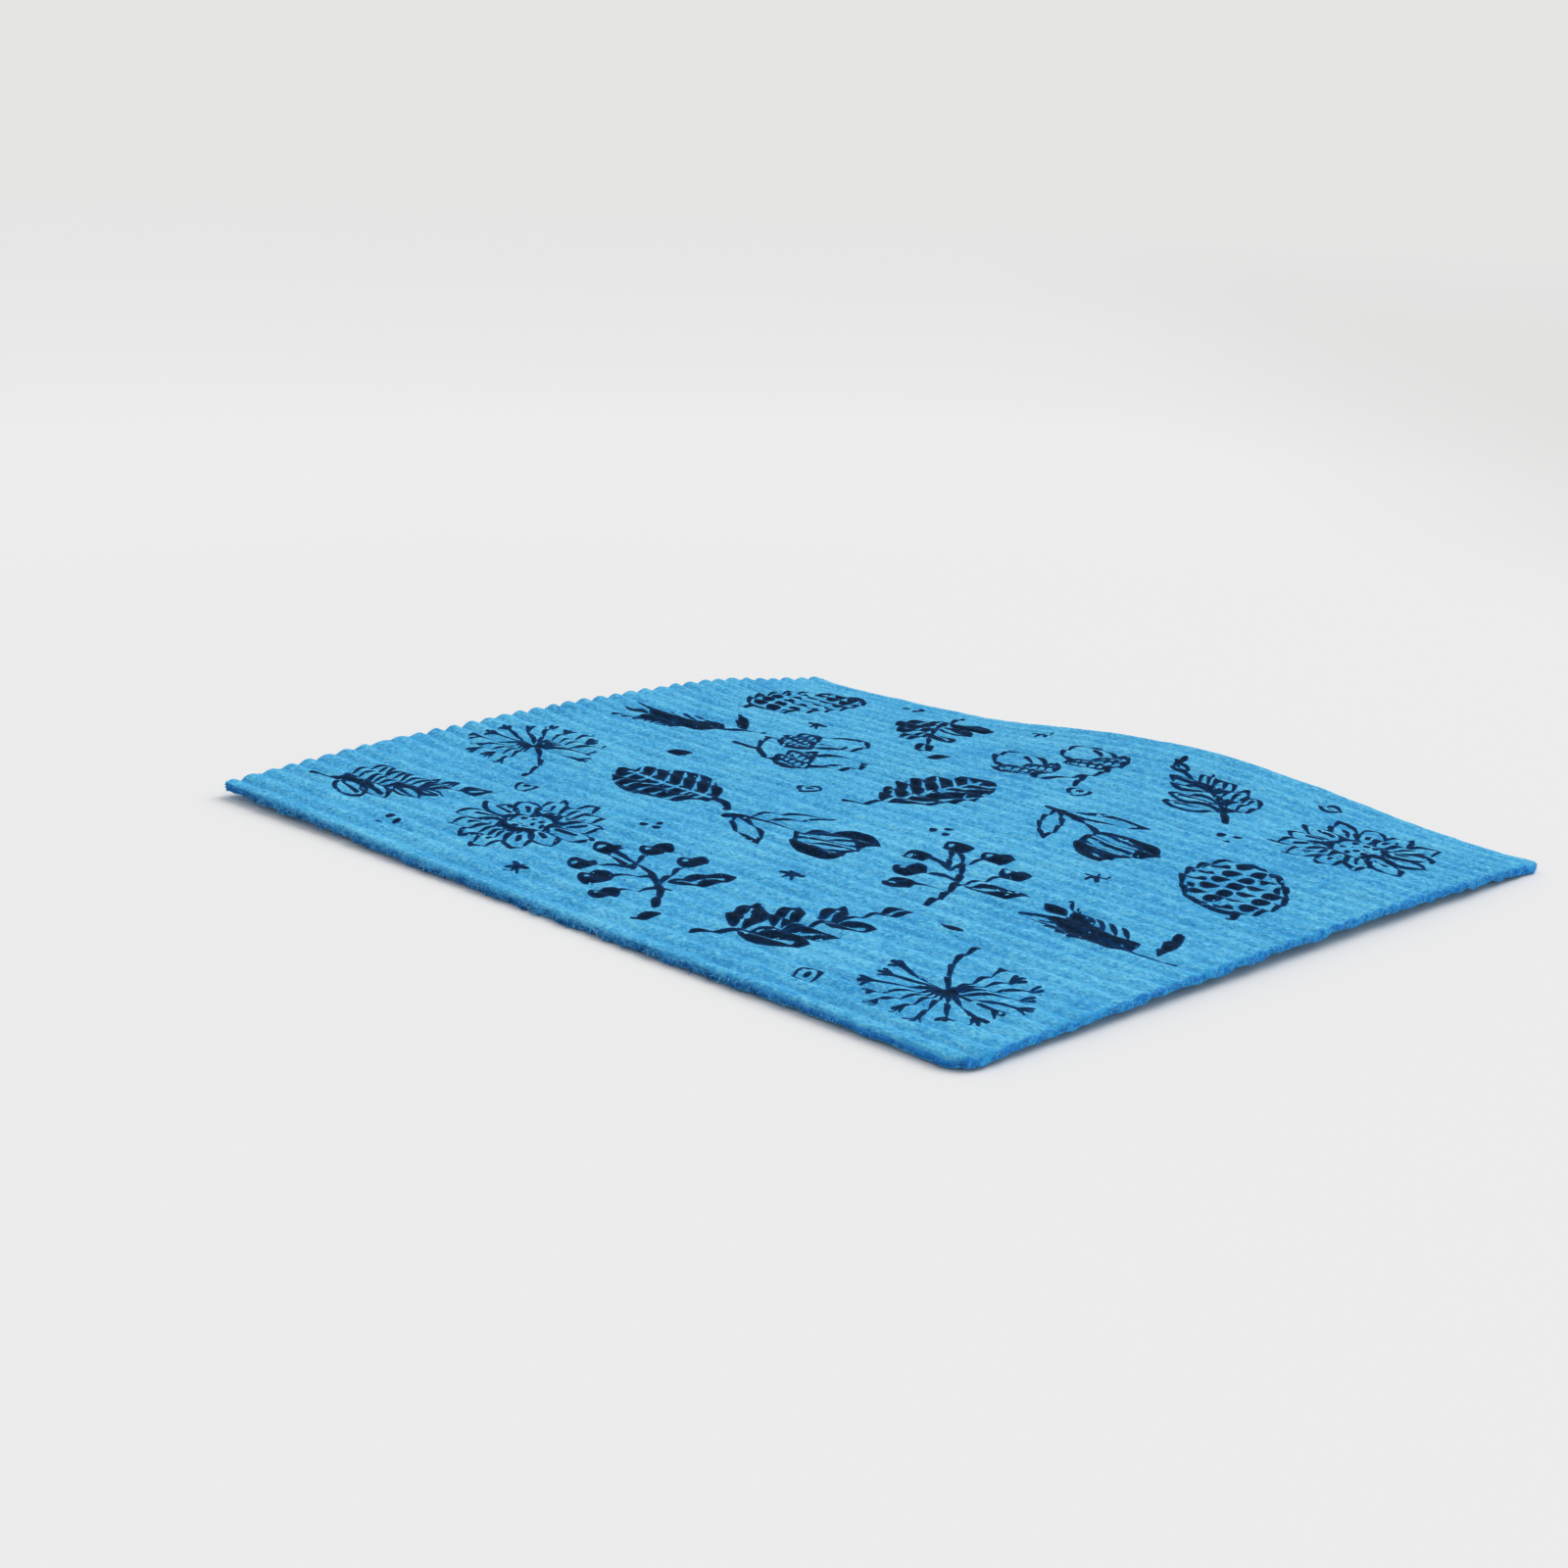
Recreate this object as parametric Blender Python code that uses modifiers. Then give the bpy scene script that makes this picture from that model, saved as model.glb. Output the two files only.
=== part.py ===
"""A sponge cloth: one sheet of cellulose and cotton, ribbed on its face and cut square.

The sheet has dried stiff, with its edges curled a little, and it lies on its own low points.
Sizes are in metres. +X runs along the ribs, +Y across them and +Z up, and the origin lies on the
surface that the cloth rests on, under the middle of the sheet.
"""

import bmesh
import bpy
import numpy as np

MM = 0.001

# The sheet as it is cut
LENGTH = 200 * MM  # along the ribs
WIDTH = 172 * MM  # across the ribs
THICKNESS = 2.0 * MM  # from the underside to the crest of a rib
CORNER_RADIUS = 2.0 * MM
FRONT_CORNER_RADIUS = 5.0 * MM  # the corner at +X and -Y is worn rounder than the others

# The pressed ribs
RIB_PITCH = 4.72 * MM
RIB_HEIGHT = 0.7 * MM  # from the valley between two ribs to their crests
HOLLOW_DEPTH = 0.25 * MM  # the shallow hollows of the underside, below the valleys
FIRST_CREST = 1.18 * MM  # from the cut edge at -Y to the first crest

# The warp of the dried sheet, measured from its flat state
MIDDLE_CROWN = 0.8 * MM  # rise of the middle over the four edges
START_LIFT = 2.4 * MM  # the edge at -X arches up between its corners
START_REACH = 20 * MM  # how far in from that edge the arch fades
FAR_WAVE = 2.9 * MM  # the edge at +Y waves up and down
FAR_WAVE_LENGTH = 155 * MM
FAR_WAVE_CREST = 119 * MM  # from the edge at -X to the wave's crest
FAR_REACH = 26 * MM
CORNER_DROP = 3.4 * MM  # the corner between those two edges curls down
CORNER_REACH = 24 * MM
NEAR_SAG = 1.0 * MM  # the edge at -Y hangs, least at its ends
NEAR_SAG_SPREAD = 0.4 * MM  # how much less it hangs at its ends and more at its middle
NEAR_REACH = 16 * MM

# The lean that brings three low points of the warped sheet onto the surface, as rise per metre
LEAN_ALONG = -0.0044
LEAN_ACROSS = 0.0111

# The grid that carries the shape
STEPS_PER_RIB = 4
STEPS_ALONG = 14

CLOTH_BLUE = (0.102, 0.423, 0.716, 1.0)
CLOTH_ROUGHNESS = 0.95


def ribs(across):
    """0 on a crest and 1 in a valley, round on top and sharp between: 1 minus the sine of half a turn a rib."""
    turn = np.pi * ((across - FIRST_CREST) / RIB_PITCH + 0.5)
    return 1 - np.abs(np.sin(turn))


def warp(along, across):
    """The height of the dried sheet over its flat state: a crown, and what each edge adds as it fades inwards."""
    crown = MIDDLE_CROWN * np.sin(np.pi * along / LENGTH) * np.sin(np.pi * across / WIDTH)
    start = START_LIFT * np.sin(np.pi * across / WIDTH) * np.exp(-along / START_REACH)
    wave = FAR_WAVE * np.cos(2 * np.pi * (along - FAR_WAVE_CREST) / FAR_WAVE_LENGTH)
    far = wave * np.exp((across - WIDTH) / FAR_REACH)
    corner = CORNER_DROP * np.exp(-(along**2 + (WIDTH - across) ** 2) / CORNER_REACH**2)
    sag = NEAR_SAG - NEAR_SAG_SPREAD * np.cos(2 * np.pi * along / LENGTH)
    return crown + start + far - corner - sag * np.exp(-across / NEAR_REACH)


def round_corners(along, across):
    """Draw each corner's square, of its radius, in to a quarter disc, so the cut outline is round there."""
    middle = np.stack([along - LENGTH / 2, across - WIDTH / 2])
    half = np.array([[LENGTH / 2], [WIDTH / 2]])
    at_front = (middle[0] > 0) & (middle[1] < 0)
    radius = np.where(at_front, FRONT_CORNER_RADIUS, CORNER_RADIUS)
    beyond = np.maximum(np.abs(middle) - (half - radius), 0)
    reach = np.hypot(*beyond)
    shrink = np.where(reach > 0, beyond.max(axis=0) / np.maximum(reach, 1e-12), 1)
    drawn = np.abs(middle) - beyond * (1 - shrink)
    return np.sign(middle) * drawn + half


def flat_slab():
    """A mesh of one unit each way, gridded along and across, with its top at 1 and its underside at 0."""
    columns = round(WIDTH / RIB_PITCH * STEPS_PER_RIB)
    bm = bmesh.new()
    bmesh.ops.create_grid(bm, x_segments=STEPS_ALONG, y_segments=columns, size=0.5)
    sheet = bpy.data.meshes.new("flat_sheet")
    bm.to_mesh(sheet)
    bm.free()

    slab = bpy.data.objects.new("flat_slab", sheet)
    bpy.context.scene.collection.objects.link(slab)
    wall = slab.modifiers.new("Wall", "SOLIDIFY")
    wall.thickness = 1
    wall.offset = 1
    evaluated = slab.evaluated_get(bpy.context.evaluated_depsgraph_get())
    mesh = bpy.data.meshes.new_from_object(evaluated)
    bpy.data.objects.remove(slab)
    return mesh


def cloth_mesh():
    """The slab pressed into ribs, warped, leaned and set down on its lowest points."""
    mesh = flat_slab()
    points = np.empty(3 * len(mesh.vertices), dtype=np.float32)
    mesh.vertices.foreach_get("co", points)
    points = points.reshape(-1, 3).astype(float)
    on_top = points[:, 2] > 0.5

    # The rows stand closer together towards the two ends, where the sheet bends most
    along = LENGTH * (0.5 - 0.5 * np.cos(np.pi * (points[:, 0] + 0.5)))
    across = WIDTH * (points[:, 1] + 0.5)
    along, across = round_corners(along, across)

    top = THICKNESS - RIB_HEIGHT * ribs(across)
    underside = HOLLOW_DEPTH * ribs(across)
    x = along - LENGTH / 2
    y = across - WIDTH / 2
    height = warp(along, across) + LEAN_ALONG * x + LEAN_ACROSS * y
    z = height + np.where(on_top, top, underside)
    z -= z.min()

    mesh.vertices.foreach_set("co", np.stack([x, y, z], axis=1).astype(np.float32).ravel())
    mesh.update()
    return mesh


def cloth_material():
    """Dyed cellulose and cotton: matt, sky blue, with no gloss."""
    material = bpy.data.materials.new("dyed_cellulose")
    material.use_nodes = True
    shader = material.node_tree.nodes["Principled BSDF"]
    shader.inputs["Base Color"].default_value = CLOTH_BLUE
    shader.inputs["Roughness"].default_value = CLOTH_ROUGHNESS
    shader.inputs["Metallic"].default_value = 0
    return material


def main():
    for old in list(bpy.data.objects):
        bpy.data.objects.remove(old)
    collection = bpy.data.collections.new("sponge_cloth")
    bpy.context.scene.collection.children.link(collection)

    mesh = cloth_mesh()
    mesh.name = "cloth_sheet"
    mesh.materials.append(cloth_material())
    cloth = bpy.data.objects.new("cloth_sheet", mesh)
    collection.objects.link(cloth)


main()
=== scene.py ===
"""The looks of one sponge cloth: a ribbed sheet of dyed cellulose and cotton, printed in navy ink.

The sheet is a closed surface worked out from the same sizes as its solid, with the uneven ribs,
soft cut edges and fibres of the real one. The print is a thin film that lies on the ribs. Sizes
are in metres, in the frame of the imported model, except on the printing plate, which is in
millimetres.
"""

import logging
import math
from dataclasses import dataclass
from enum import Enum
from typing import ClassVar

import bpy
import numpy as np
from mathutils import Matrix, Vector

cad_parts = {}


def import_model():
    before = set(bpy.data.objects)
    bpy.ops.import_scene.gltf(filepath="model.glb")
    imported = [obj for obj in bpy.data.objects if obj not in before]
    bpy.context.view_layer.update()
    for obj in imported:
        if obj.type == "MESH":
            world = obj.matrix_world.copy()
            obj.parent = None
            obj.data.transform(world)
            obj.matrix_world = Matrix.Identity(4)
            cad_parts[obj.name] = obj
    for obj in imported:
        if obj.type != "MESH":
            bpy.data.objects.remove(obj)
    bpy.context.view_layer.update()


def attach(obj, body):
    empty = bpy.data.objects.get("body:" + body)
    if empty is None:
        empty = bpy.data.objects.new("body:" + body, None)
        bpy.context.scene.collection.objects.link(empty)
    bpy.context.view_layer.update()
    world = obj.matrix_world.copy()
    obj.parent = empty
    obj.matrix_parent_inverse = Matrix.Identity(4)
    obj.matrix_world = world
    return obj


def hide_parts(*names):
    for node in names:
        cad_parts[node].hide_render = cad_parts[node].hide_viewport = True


LOG = logging.getLogger("sponge_cloth")
MM = 0.001
Array = np.ndarray
Spot = tuple[float, float]
Span = tuple[float, float]
Points = Array | list[Spot]
Leaf = tuple[Array, Array, float]
Noise = tuple[float, float, float]
Stops = tuple[tuple[float, str], ...]
Socket = bpy.types.NodeSocket
Outputs = bpy.types.NodeOutputs
Tint = Socket | tuple[float, ...]
Links = dict[str | int, Tint | float]


def linear(hex_colour: str) -> tuple[float, float, float, float]:
    """Turn an sRGB hex colour into the linear colour that a shader takes.

    Args:
        hex_colour: Six hex digits after a number sign.

    Returns:
        Red, green and blue in linear light, and an alpha of 1.
    """
    channels = [int(hex_colour[place : place + 2], 16) / 255 for place in (1, 3, 5)]
    light = [c / 12.92 if c <= 0.04045 else ((c + 0.055) / 1.055) ** 2.4 for c in channels]
    return (light[0], light[1], light[2], 1.0)


def between(table: Array, i: Array, j: Array, s: Array, t: Array) -> Array:
    """Blend each place's four neighbours in a table that starts again past its end.

    Args:
        table: Values on a grid.
        i: The first number of the neighbour before each place.
        j: The second number of that neighbour.
        s: How far the place is on the way to the next i, from 0 to 1.
        t: How far it is on the way to the next j.

    Returns:
        One value for each place.
    """
    right, above = (i + 1) % table.shape[0], (j + 1) % table.shape[1]
    low = table[i, j] * (1 - s) + table[right, j] * s
    high = table[i, above] * (1 - s) + table[right, above] * s
    return low * (1 - t) + high * t


@dataclass(frozen=True)
class Lumps:
    """Uneven heights, up and down: random values on a lattice, blended by a smooth step.

    The lattice is turned against the ribs, so that its rows never line up with them. Its step is
    long along it and wide across it.
    """

    height: float
    long: float
    wide: float
    seed: int

    LATTICE: ClassVar[int] = 97
    TURN: ClassVar[float] = 0.61

    def at(self, x: Array, y: Array) -> Array:
        """Give the height at each place.

        Args:
            x: Places along the ribs.
            y: Places across the ribs.

        Returns:
            Values from minus the height to the height.
        """
        size = self.LATTICE
        lattice = np.random.default_rng(self.seed).uniform(-1, 1, (size, size))
        cos, sin = math.cos(self.TURN), math.sin(self.TURN)
        column = x / self.long * cos - y / self.wide * sin
        row = x / self.long * sin + y / self.wide * cos
        left, below = np.floor(column).astype(int), np.floor(row).astype(int)
        s, t = column - left, row - below
        s, t = s * s * (3 - 2 * s), t * t * (3 - 2 * t)
        return self.height * between(lattice, left % size, below % size, s, t)


Layers = tuple[Lumps, ...]


def piled(layers: Layers, x: Array, y: Array) -> Array:
    """Add up layers of lumps of several sizes."""
    return sum(layer.at(x, y) for layer in layers)


def mesh_piece(name: str, points: Array, faces: list[list[int]]) -> bpy.types.Object:
    """Make an object at the origin from points and faces, shaded smooth.

    Args:
        name: The piece's name.
        points: Places, one row each, in metres.
        faces: Corner numbers of each face, in turn to the left as seen from outside.

    Returns:
        The new object, linked to the scene.
    """
    mesh = bpy.data.meshes.new(name)
    mesh.from_pydata(points.tolist(), [], faces)
    mesh.update()
    mesh.shade_smooth()
    piece = bpy.data.objects.new(name, mesh)
    bpy.context.scene.collection.objects.link(piece)
    return piece


def add_point_value(piece: bpy.types.Object, name: str, values: Array) -> None:
    """Store one number for each of a mesh's points, for its material to read.

    Args:
        piece: The mesh object.
        name: The attribute's name.
        values: One number for each point.
    """
    attribute = piece.data.attributes.new(name, "FLOAT", "POINT")
    attribute.data.foreach_set("value", values.astype(np.float32))


def grid_faces(number: Array, closed: bool = False) -> Array:
    """Give the four-cornered faces of a grid, or of many grids, from their points' numbers.

    They turn to the left where the second last axis runs right and the last one runs up.

    Args:
        number: The points' numbers, with the grid on the last two axes.
        closed: Whether the last axis runs round and meets itself.

    Returns:
        The corners of each face, one row each.
    """
    if closed:
        number = np.concatenate([number, number[..., :1]], axis=-1)
    left, right = number[..., :-1, :], number[..., 1:, :]
    corners = [left[..., :-1], right[..., :-1], right[..., 1:], left[..., 1:]]
    return np.stack(corners, axis=-1).reshape(-1, 4)


@dataclass(frozen=True)
class SheetForm:
    """The sheet's sizes and the formulas of its shape, as its solid has them.

    Only the corner at -X and -Y differs: here it has the sharper cut of the real one.
    """

    length: float = 200 * MM
    width: float = 172 * MM
    thickness: float = 2.0 * MM
    corner_radius: float = 2.0 * MM
    front_corner_radius: float = 5.0 * MM
    start_corner_radius: float = 0.5 * MM
    rib_pitch: float = 4.72 * MM
    rib_height: float = 0.7 * MM
    hollow_depth: float = 0.25 * MM
    first_crest: float = 1.18 * MM
    middle_crown: float = 0.8 * MM
    start_lift: float = 2.4 * MM
    start_reach: float = 20 * MM
    far_wave: float = 2.9 * MM
    far_wave_length: float = 155 * MM
    far_wave_crest: float = 119 * MM
    far_reach: float = 26 * MM
    corner_drop: float = 3.4 * MM
    corner_reach: float = 24 * MM
    near_sag: float = 1.0 * MM
    near_sag_spread: float = 0.4 * MM
    near_reach: float = 16 * MM
    lean_along: float = -0.0044
    lean_across: float = 0.0111

    def valley(self, across: Array) -> Array:
        """Give 0 on a rib's crest and 1 in a valley: 1 minus the sine of half a turn for each rib."""
        turn = np.pi * ((across - self.first_crest) / self.rib_pitch + 0.5)
        return 1 - np.abs(np.sin(turn))

    def lie(self, along: Array, across: Array) -> Array:
        """Give the height of the dried and leaning sheet over its flat state.

        It is a crown in the middle, an arch at -X, a wave at +Y, a curled corner between them and
        a sag at -Y. Each of the last four fades inwards from its edge, and a slight lean is added.

        Args:
            along: Places along the ribs, from the edge at -X.
            across: Places across the ribs, from the edge at -Y.

        Returns:
            The height at each place.
        """
        crown = np.sin(np.pi * along / self.length) * np.sin(np.pi * across / self.width)
        start = np.sin(np.pi * across / self.width) * np.exp(-along / self.start_reach)
        wave = np.cos(2 * np.pi * (along - self.far_wave_crest) / self.far_wave_length)
        far = wave * np.exp((across - self.width) / self.far_reach)
        corner = np.exp(-(along**2 + (self.width - across) ** 2) / self.corner_reach**2)
        sag = self.near_sag - self.near_sag_spread * np.cos(2 * np.pi * along / self.length)
        near = sag * np.exp(-across / self.near_reach)
        lean = self.lean_along * (along - self.length / 2) + self.lean_across * (across - self.width / 2)
        return (
            self.middle_crown * crown
            + self.start_lift * start
            + self.far_wave * far
            - self.corner_drop * corner
            - near
            + lean
        )

    def round_corners(self, along: Array, across: Array) -> tuple[Array, Array]:
        """Draw each corner's square, of its radius, in to a quarter disc, as the sheet is cut there.

        Args:
            along: Places along the ribs.
            across: Places across the ribs.

        Returns:
            The new places, along and across.
        """
        half = np.array([self.length / 2, self.width / 2]).reshape(2, *[1] * along.ndim)
        middle = np.stack([along, across]) - half
        near_radius = np.where(middle[0] > 0, self.front_corner_radius, self.start_corner_radius)
        radius = np.where(middle[1] < 0, near_radius, self.corner_radius)
        beyond = np.maximum(np.abs(middle) - (half - radius), 0)
        reach = np.hypot(beyond[0], beyond[1])
        shrink = np.where(reach > 0, beyond.max(axis=0) / np.maximum(reach, 1e-12), 1)
        drawn = np.sign(middle) * (np.abs(middle) - beyond * (1 - shrink)) + half
        return drawn[0], drawn[1]


@dataclass
class ClothSheet:
    """The cloth itself: uneven pressed ribs over a shallow underside, joined by rough cut edges.

    A fade is the distance over which something dies away from its edge, and a share is how much
    of it there is at most.
    """

    form: SheetForm
    steps_per_rib: int = 9
    step_along: float = 1.05 * MM
    edge_steps: tuple[float, ...] = (0.0, 0.08 * MM, 0.22 * MM, 0.42 * MM, 0.7 * MM)
    rim_rows: int = 5
    thinnest: float = 0.35 * MM
    flattened: float = 0.08 * MM

    # The ribs, deeper at -X, with the first one cut along its crest at the corner at -X and -Y
    rib_wander: Layers = (Lumps(0.34 * MM, 41 * MM, 19 * MM, 11), Lumps(0.45 * MM, 8 * MM, 5 * MM, 12))
    rib_depth: float = 0.88
    rib_depths: Layers = (Lumps(0.3, 12 * MM, 4.7 * MM, 13), Lumps(0.3, 5 * MM, 3.6 * MM, 20))
    end_flare: float = 0.4
    flare_fade: float = 7 * MM
    crest_cut_share: float = 0.85
    crest_cut_long: float = 8 * MM
    crest_cut_wide: float = 1.4 * MM

    # The felt of both faces
    crests: Layers = (Lumps(0.14 * MM, 9 * MM, 4 * MM, 33),)
    swell: Layers = (Lumps(0.2 * MM, 33 * MM, 27 * MM, 16),)
    felt: Layers = (
        Lumps(0.05 * MM, 3.4 * MM, 2.2 * MM, 14),
        Lumps(0.045 * MM, 2.1 * MM, 1.3 * MM, 15),
    )
    under_felt: Layers = (Lumps(0.05 * MM, 4 * MM, 2.4 * MM, 17),)
    hollow_fade: float = 1.5 * MM

    # The shoulders that roll down to the cut edges, squarer near the edge at -X, and tufts below
    end_roll: float = 0.25 * MM
    side_roll: float = 0.44 * MM
    under_roll: float = 0.12 * MM
    square_share: float = 0.85
    square_fade: float = 6 * MM
    tuft_depth: float = 0.42 * MM
    tuft_fade: float = 1.2 * MM
    tufts: Layers = (Lumps(1.0, 2.1 * MM, 2.1 * MM, 18), Lumps(0.6, 5.5 * MM, 5.5 * MM, 19))

    # The cut edges, torn at -Y but for its calm ends
    edge_wander: float = 0.28 * MM
    fray_fade: float = 1.6 * MM
    rim_bulge: float = 0.1 * MM
    rim_rough: float = 0.14 * MM
    torn_rough: float = 0.3 * MM
    rim_felt: Layers = (Lumps(1.0, 1.7 * MM, 0.9 * MM, 31), Lumps(0.7, 0.8 * MM, 0.5 * MM, 32))
    calm_share: float = 0.75
    calm_long: float = 60 * MM
    calm_fade: float = 35 * MM
    calm_start: float = 5 * MM

    # How far in from its cut edges, and how strongly, the face takes on the cut's looks
    cut_fade: float = 0.16 * MM
    cut_share: float = 0.7
    cut_share_torn: float = 0.2

    def __post_init__(self) -> None:
        """Work out the grid and both faces once, because the print and the fibres use them."""
        self.along, self.across = self.grid_lines()
        u, v = np.meshgrid(self.along, self.across, indexing="ij")
        upper, lower = self.heights(u, v)
        lowest = lower[::2, ::2].min() + self.flattened
        self.upper = upper - lowest
        self.lower = np.maximum(lower - lowest, 0)
        self.x, self.y = self.outline(u, v)

    def grid_lines(self) -> tuple[Array, Array]:
        """Give the grid's lines: in step with the ribs across them, and closer at the cut edges.

        Both counts are odd, because the underside has every second line.

        Returns:
            The lines' places along the ribs, and across them.
        """
        form, edge = self.form, np.array(self.edge_steps)
        inner = edge[-1] * 1.4
        count = 2 * round((form.length - 2 * inner) / self.step_along / 2)
        middle = np.linspace(inner, form.length - inner, count + 1)
        step = form.rib_pitch / self.steps_per_rib
        first = form.first_crest + form.rib_pitch / 2
        lines = first + np.arange(-self.steps_per_rib, form.width / step) * step
        lines = lines[(lines > inner) & (lines < form.width - inner)]
        lines = lines[: len(lines) - (len(lines) + 1) % 2]
        return (
            np.concatenate([edge, middle, form.length - edge[::-1]]),
            np.concatenate([edge, lines, form.width - edge[::-1]]),
        )

    def pressed(self, u: Array, v: Array) -> Array:
        """Give the share of valley at each place, 0 to 1, along ribs that wander a little.

        Args:
            u: Places along the ribs.
            v: Places across the ribs.

        Returns:
            The shares.
        """
        wander = piled(self.rib_wander, u, v)
        on_crest = np.exp(-u / self.crest_cut_long) * np.clip(1 - v / self.crest_cut_wide, 0, 1)
        return self.form.valley(v + wander) * (1 - self.crest_cut_share * on_crest)

    def heights(self, u: Array, v: Array) -> tuple[Array, Array]:
        """Give the heights of the ribbed face and of the underside.

        The ribs vary in depth, both faces have lumps of felted fibre of several sizes, the face
        rolls down at the cut edges by part of a circle, and tufts hang below them.

        Args:
            u: Places along the ribs.
            v: Places across the ribs.

        Returns:
            The heights of the face, and of the underside.
        """
        form, pressed = self.form, self.pressed(u, v)
        flare = 1 + self.end_flare * np.exp(-u / self.flare_fade)
        depth = form.rib_height * (self.rib_depth + piled(self.rib_depths, u, v)) * flare
        lie = form.lie(u, v) + piled(self.swell, u, v)
        crests = piled(self.crests, u, v) * (1 - pressed)
        upper = lie + form.thickness - depth * pressed + crests + piled(self.felt, u, v)

        from_end, from_side = np.minimum(u, form.length - u), np.minimum(v, form.width - v)
        nearest = np.minimum(from_end, from_side)
        hollow = form.hollow_depth * (1 - np.exp(-nearest / self.hollow_fade))
        lower = lie + hollow * pressed + piled(self.under_felt, u, v)
        side_roll = self.side_roll * (1 - self.square_share * np.exp(-u / self.square_fade))
        upper = upper - self.roll(from_end, self.end_roll) - self.roll(from_side, side_roll)
        lower = lower + self.roll(from_end, self.under_roll) + self.roll(from_side, self.under_roll)
        tufts = self.tuft_depth * piled(self.tufts, u, v)
        lower = lower + tufts * np.exp(-nearest / self.tuft_fade)
        return upper, np.minimum(lower, upper - self.thinnest)

    @staticmethod
    def roll(distance: Array, radius: Array | float) -> Array:
        """Give the drop, at a distance from its end, of four fifths of a quarter circle's height."""
        short = np.clip(radius - distance, 0, radius)
        return 0.8 * (radius - np.sqrt(radius**2 - short**2))

    def outline(self, u: Array, v: Array) -> tuple[Array, Array]:
        """Move the grid near the cut edges in and out a little, as the cutter and fibres leave them.

        Args:
            u: Places along the ribs.
            v: Places across the ribs.

        Returns:
            The x and y of each point in the model's frame.
        """

        def ragged(place: Array, seed: int, from_edge: Array) -> Array:
            """Give a cut edge's offset, which fades inwards: a slow wander and a finer fray."""
            layers = Lumps(0.75, 17 * MM, 10 * MM, seed), Lumps(0.7, 1.7 * MM, 10 * MM, seed + 1)
            return self.edge_wander * piled(layers, place, 0 * place) * np.exp(-from_edge / self.fray_fade)

        form = self.form
        x, y = form.round_corners(u, v)
        x = x + ragged(v, 21, u) + ragged(v, 23, form.length - u)
        y = y + ragged(u, 25, v) + ragged(u, 27, form.width - v)
        return x - form.length / 2, y - form.width / 2

    def face_height(self, u: Array, v: Array) -> Array:
        """Give the height of the face as its mesh has it, between four grid points by their shares.

        Args:
            u: Places along the ribs.
            v: Places across the ribs.

        Returns:
            The height at each place.
        """
        i = np.clip(np.searchsorted(self.along, u) - 1, 0, len(self.along) - 2)
        j = np.clip(np.searchsorted(self.across, v) - 1, 0, len(self.across) - 2)
        s = (u - self.along[i]) / (self.along[i + 1] - self.along[i])
        t = (v - self.across[j]) / (self.across[j + 1] - self.across[j])
        return between(self.upper, i, j, s, t)

    def edge_loop(self) -> tuple[Array, Array]:
        """Walk once round the grid's edge, with the sheet on the left.

        Returns:
            The two indices of each point.
        """
        last_i, last_j = len(self.along) - 1, len(self.across) - 1
        up_i, up_j = np.arange(last_i), np.arange(last_j)
        i = np.concatenate([up_i, np.full(last_j, last_i), last_i - up_i, np.zeros(last_j, dtype=int)])
        j = np.concatenate([np.zeros(last_i, dtype=int), up_j, np.full(last_i, last_j), last_j - up_j])
        return i, j

    def rim(self) -> tuple[Array, Array, Array]:
        """Work out the cut edge: rows between both faces, bulging by a sine, roughened by felt.

        It has two points for each of the faces' edge. The cut at -Y is torn more than cut, so it
        has the deepest lumps.

        Returns:
            The rim's points, by row from the top and place round the edge, the outward
            directions, and how torn each place is, from 0 to 1.
        """
        i, j = self.edge_loop()
        above = self.doubled(np.stack([self.x[i, j], self.y[i, j], self.upper[i, j]], axis=-1))
        below = self.doubled(np.stack([self.x[i, j], self.y[i, j], self.lower[i, j]], axis=-1))
        along = np.roll(above, -1, axis=0) - np.roll(above, 1, axis=0)
        outward = np.stack([along[:, 1], -along[:, 0], np.zeros(len(along))], axis=-1)
        outward /= np.linalg.norm(outward, axis=1, keepdims=True)

        half = self.form.length / 2
        from_start, to_end = half + above[:, 0], half - above[:, 0]
        calm = self.calm_share * np.clip((self.calm_long - to_end) / self.calm_fade, 0, 1)
        calm = calm + np.exp(-from_start / self.calm_start)
        torn = np.clip(-outward[:, 1], 0, 1) * np.clip(1 - calm, 0, 1)

        share = (np.arange(1, self.rim_rows + 1) / (self.rim_rows + 1))[:, None]
        run = np.cumsum(np.linalg.norm(along, axis=1)) / 2
        rough = self.rim_rough + (self.torn_rough - self.rim_rough) * torn
        lumps = piled(self.rim_felt, run, self.form.thickness * share) * rough
        bulge = self.rim_bulge * np.sin(np.pi * share) + lumps
        rows = above * (1 - share[..., None]) + below * share[..., None]
        return rows + outward * bulge[..., None], outward, torn

    @staticmethod
    def doubled(loop: Array) -> Array:
        """Put a point halfway between each point of a closed loop and the one after it."""
        halfway = (loop + np.roll(loop, -1, axis=0)) / 2
        return np.stack([loop, halfway], axis=1).reshape(-1, 3)

    def build(self) -> bpy.types.Object:
        """Join the face, the underside and the rim into one closed mesh.

        The rim has two points for each of the face's edge, and the underside has every second
        line of the grid, so the faces that join them have five and seven corners.

        Returns:
            The cloth, with its shares stored on its points.
        """
        number = np.arange(self.upper.size).reshape(self.upper.shape)
        coarse = self.lower[::2, ::2]
        under_number = np.arange(coarse.size).reshape(coarse.shape) + number.size
        rim_points, outward, torn = self.rim()
        rim_number = np.arange(rim_points[..., 0].size).reshape(rim_points.shape[:2])
        rim_number = rim_number + number.size + coarse.size

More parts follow.
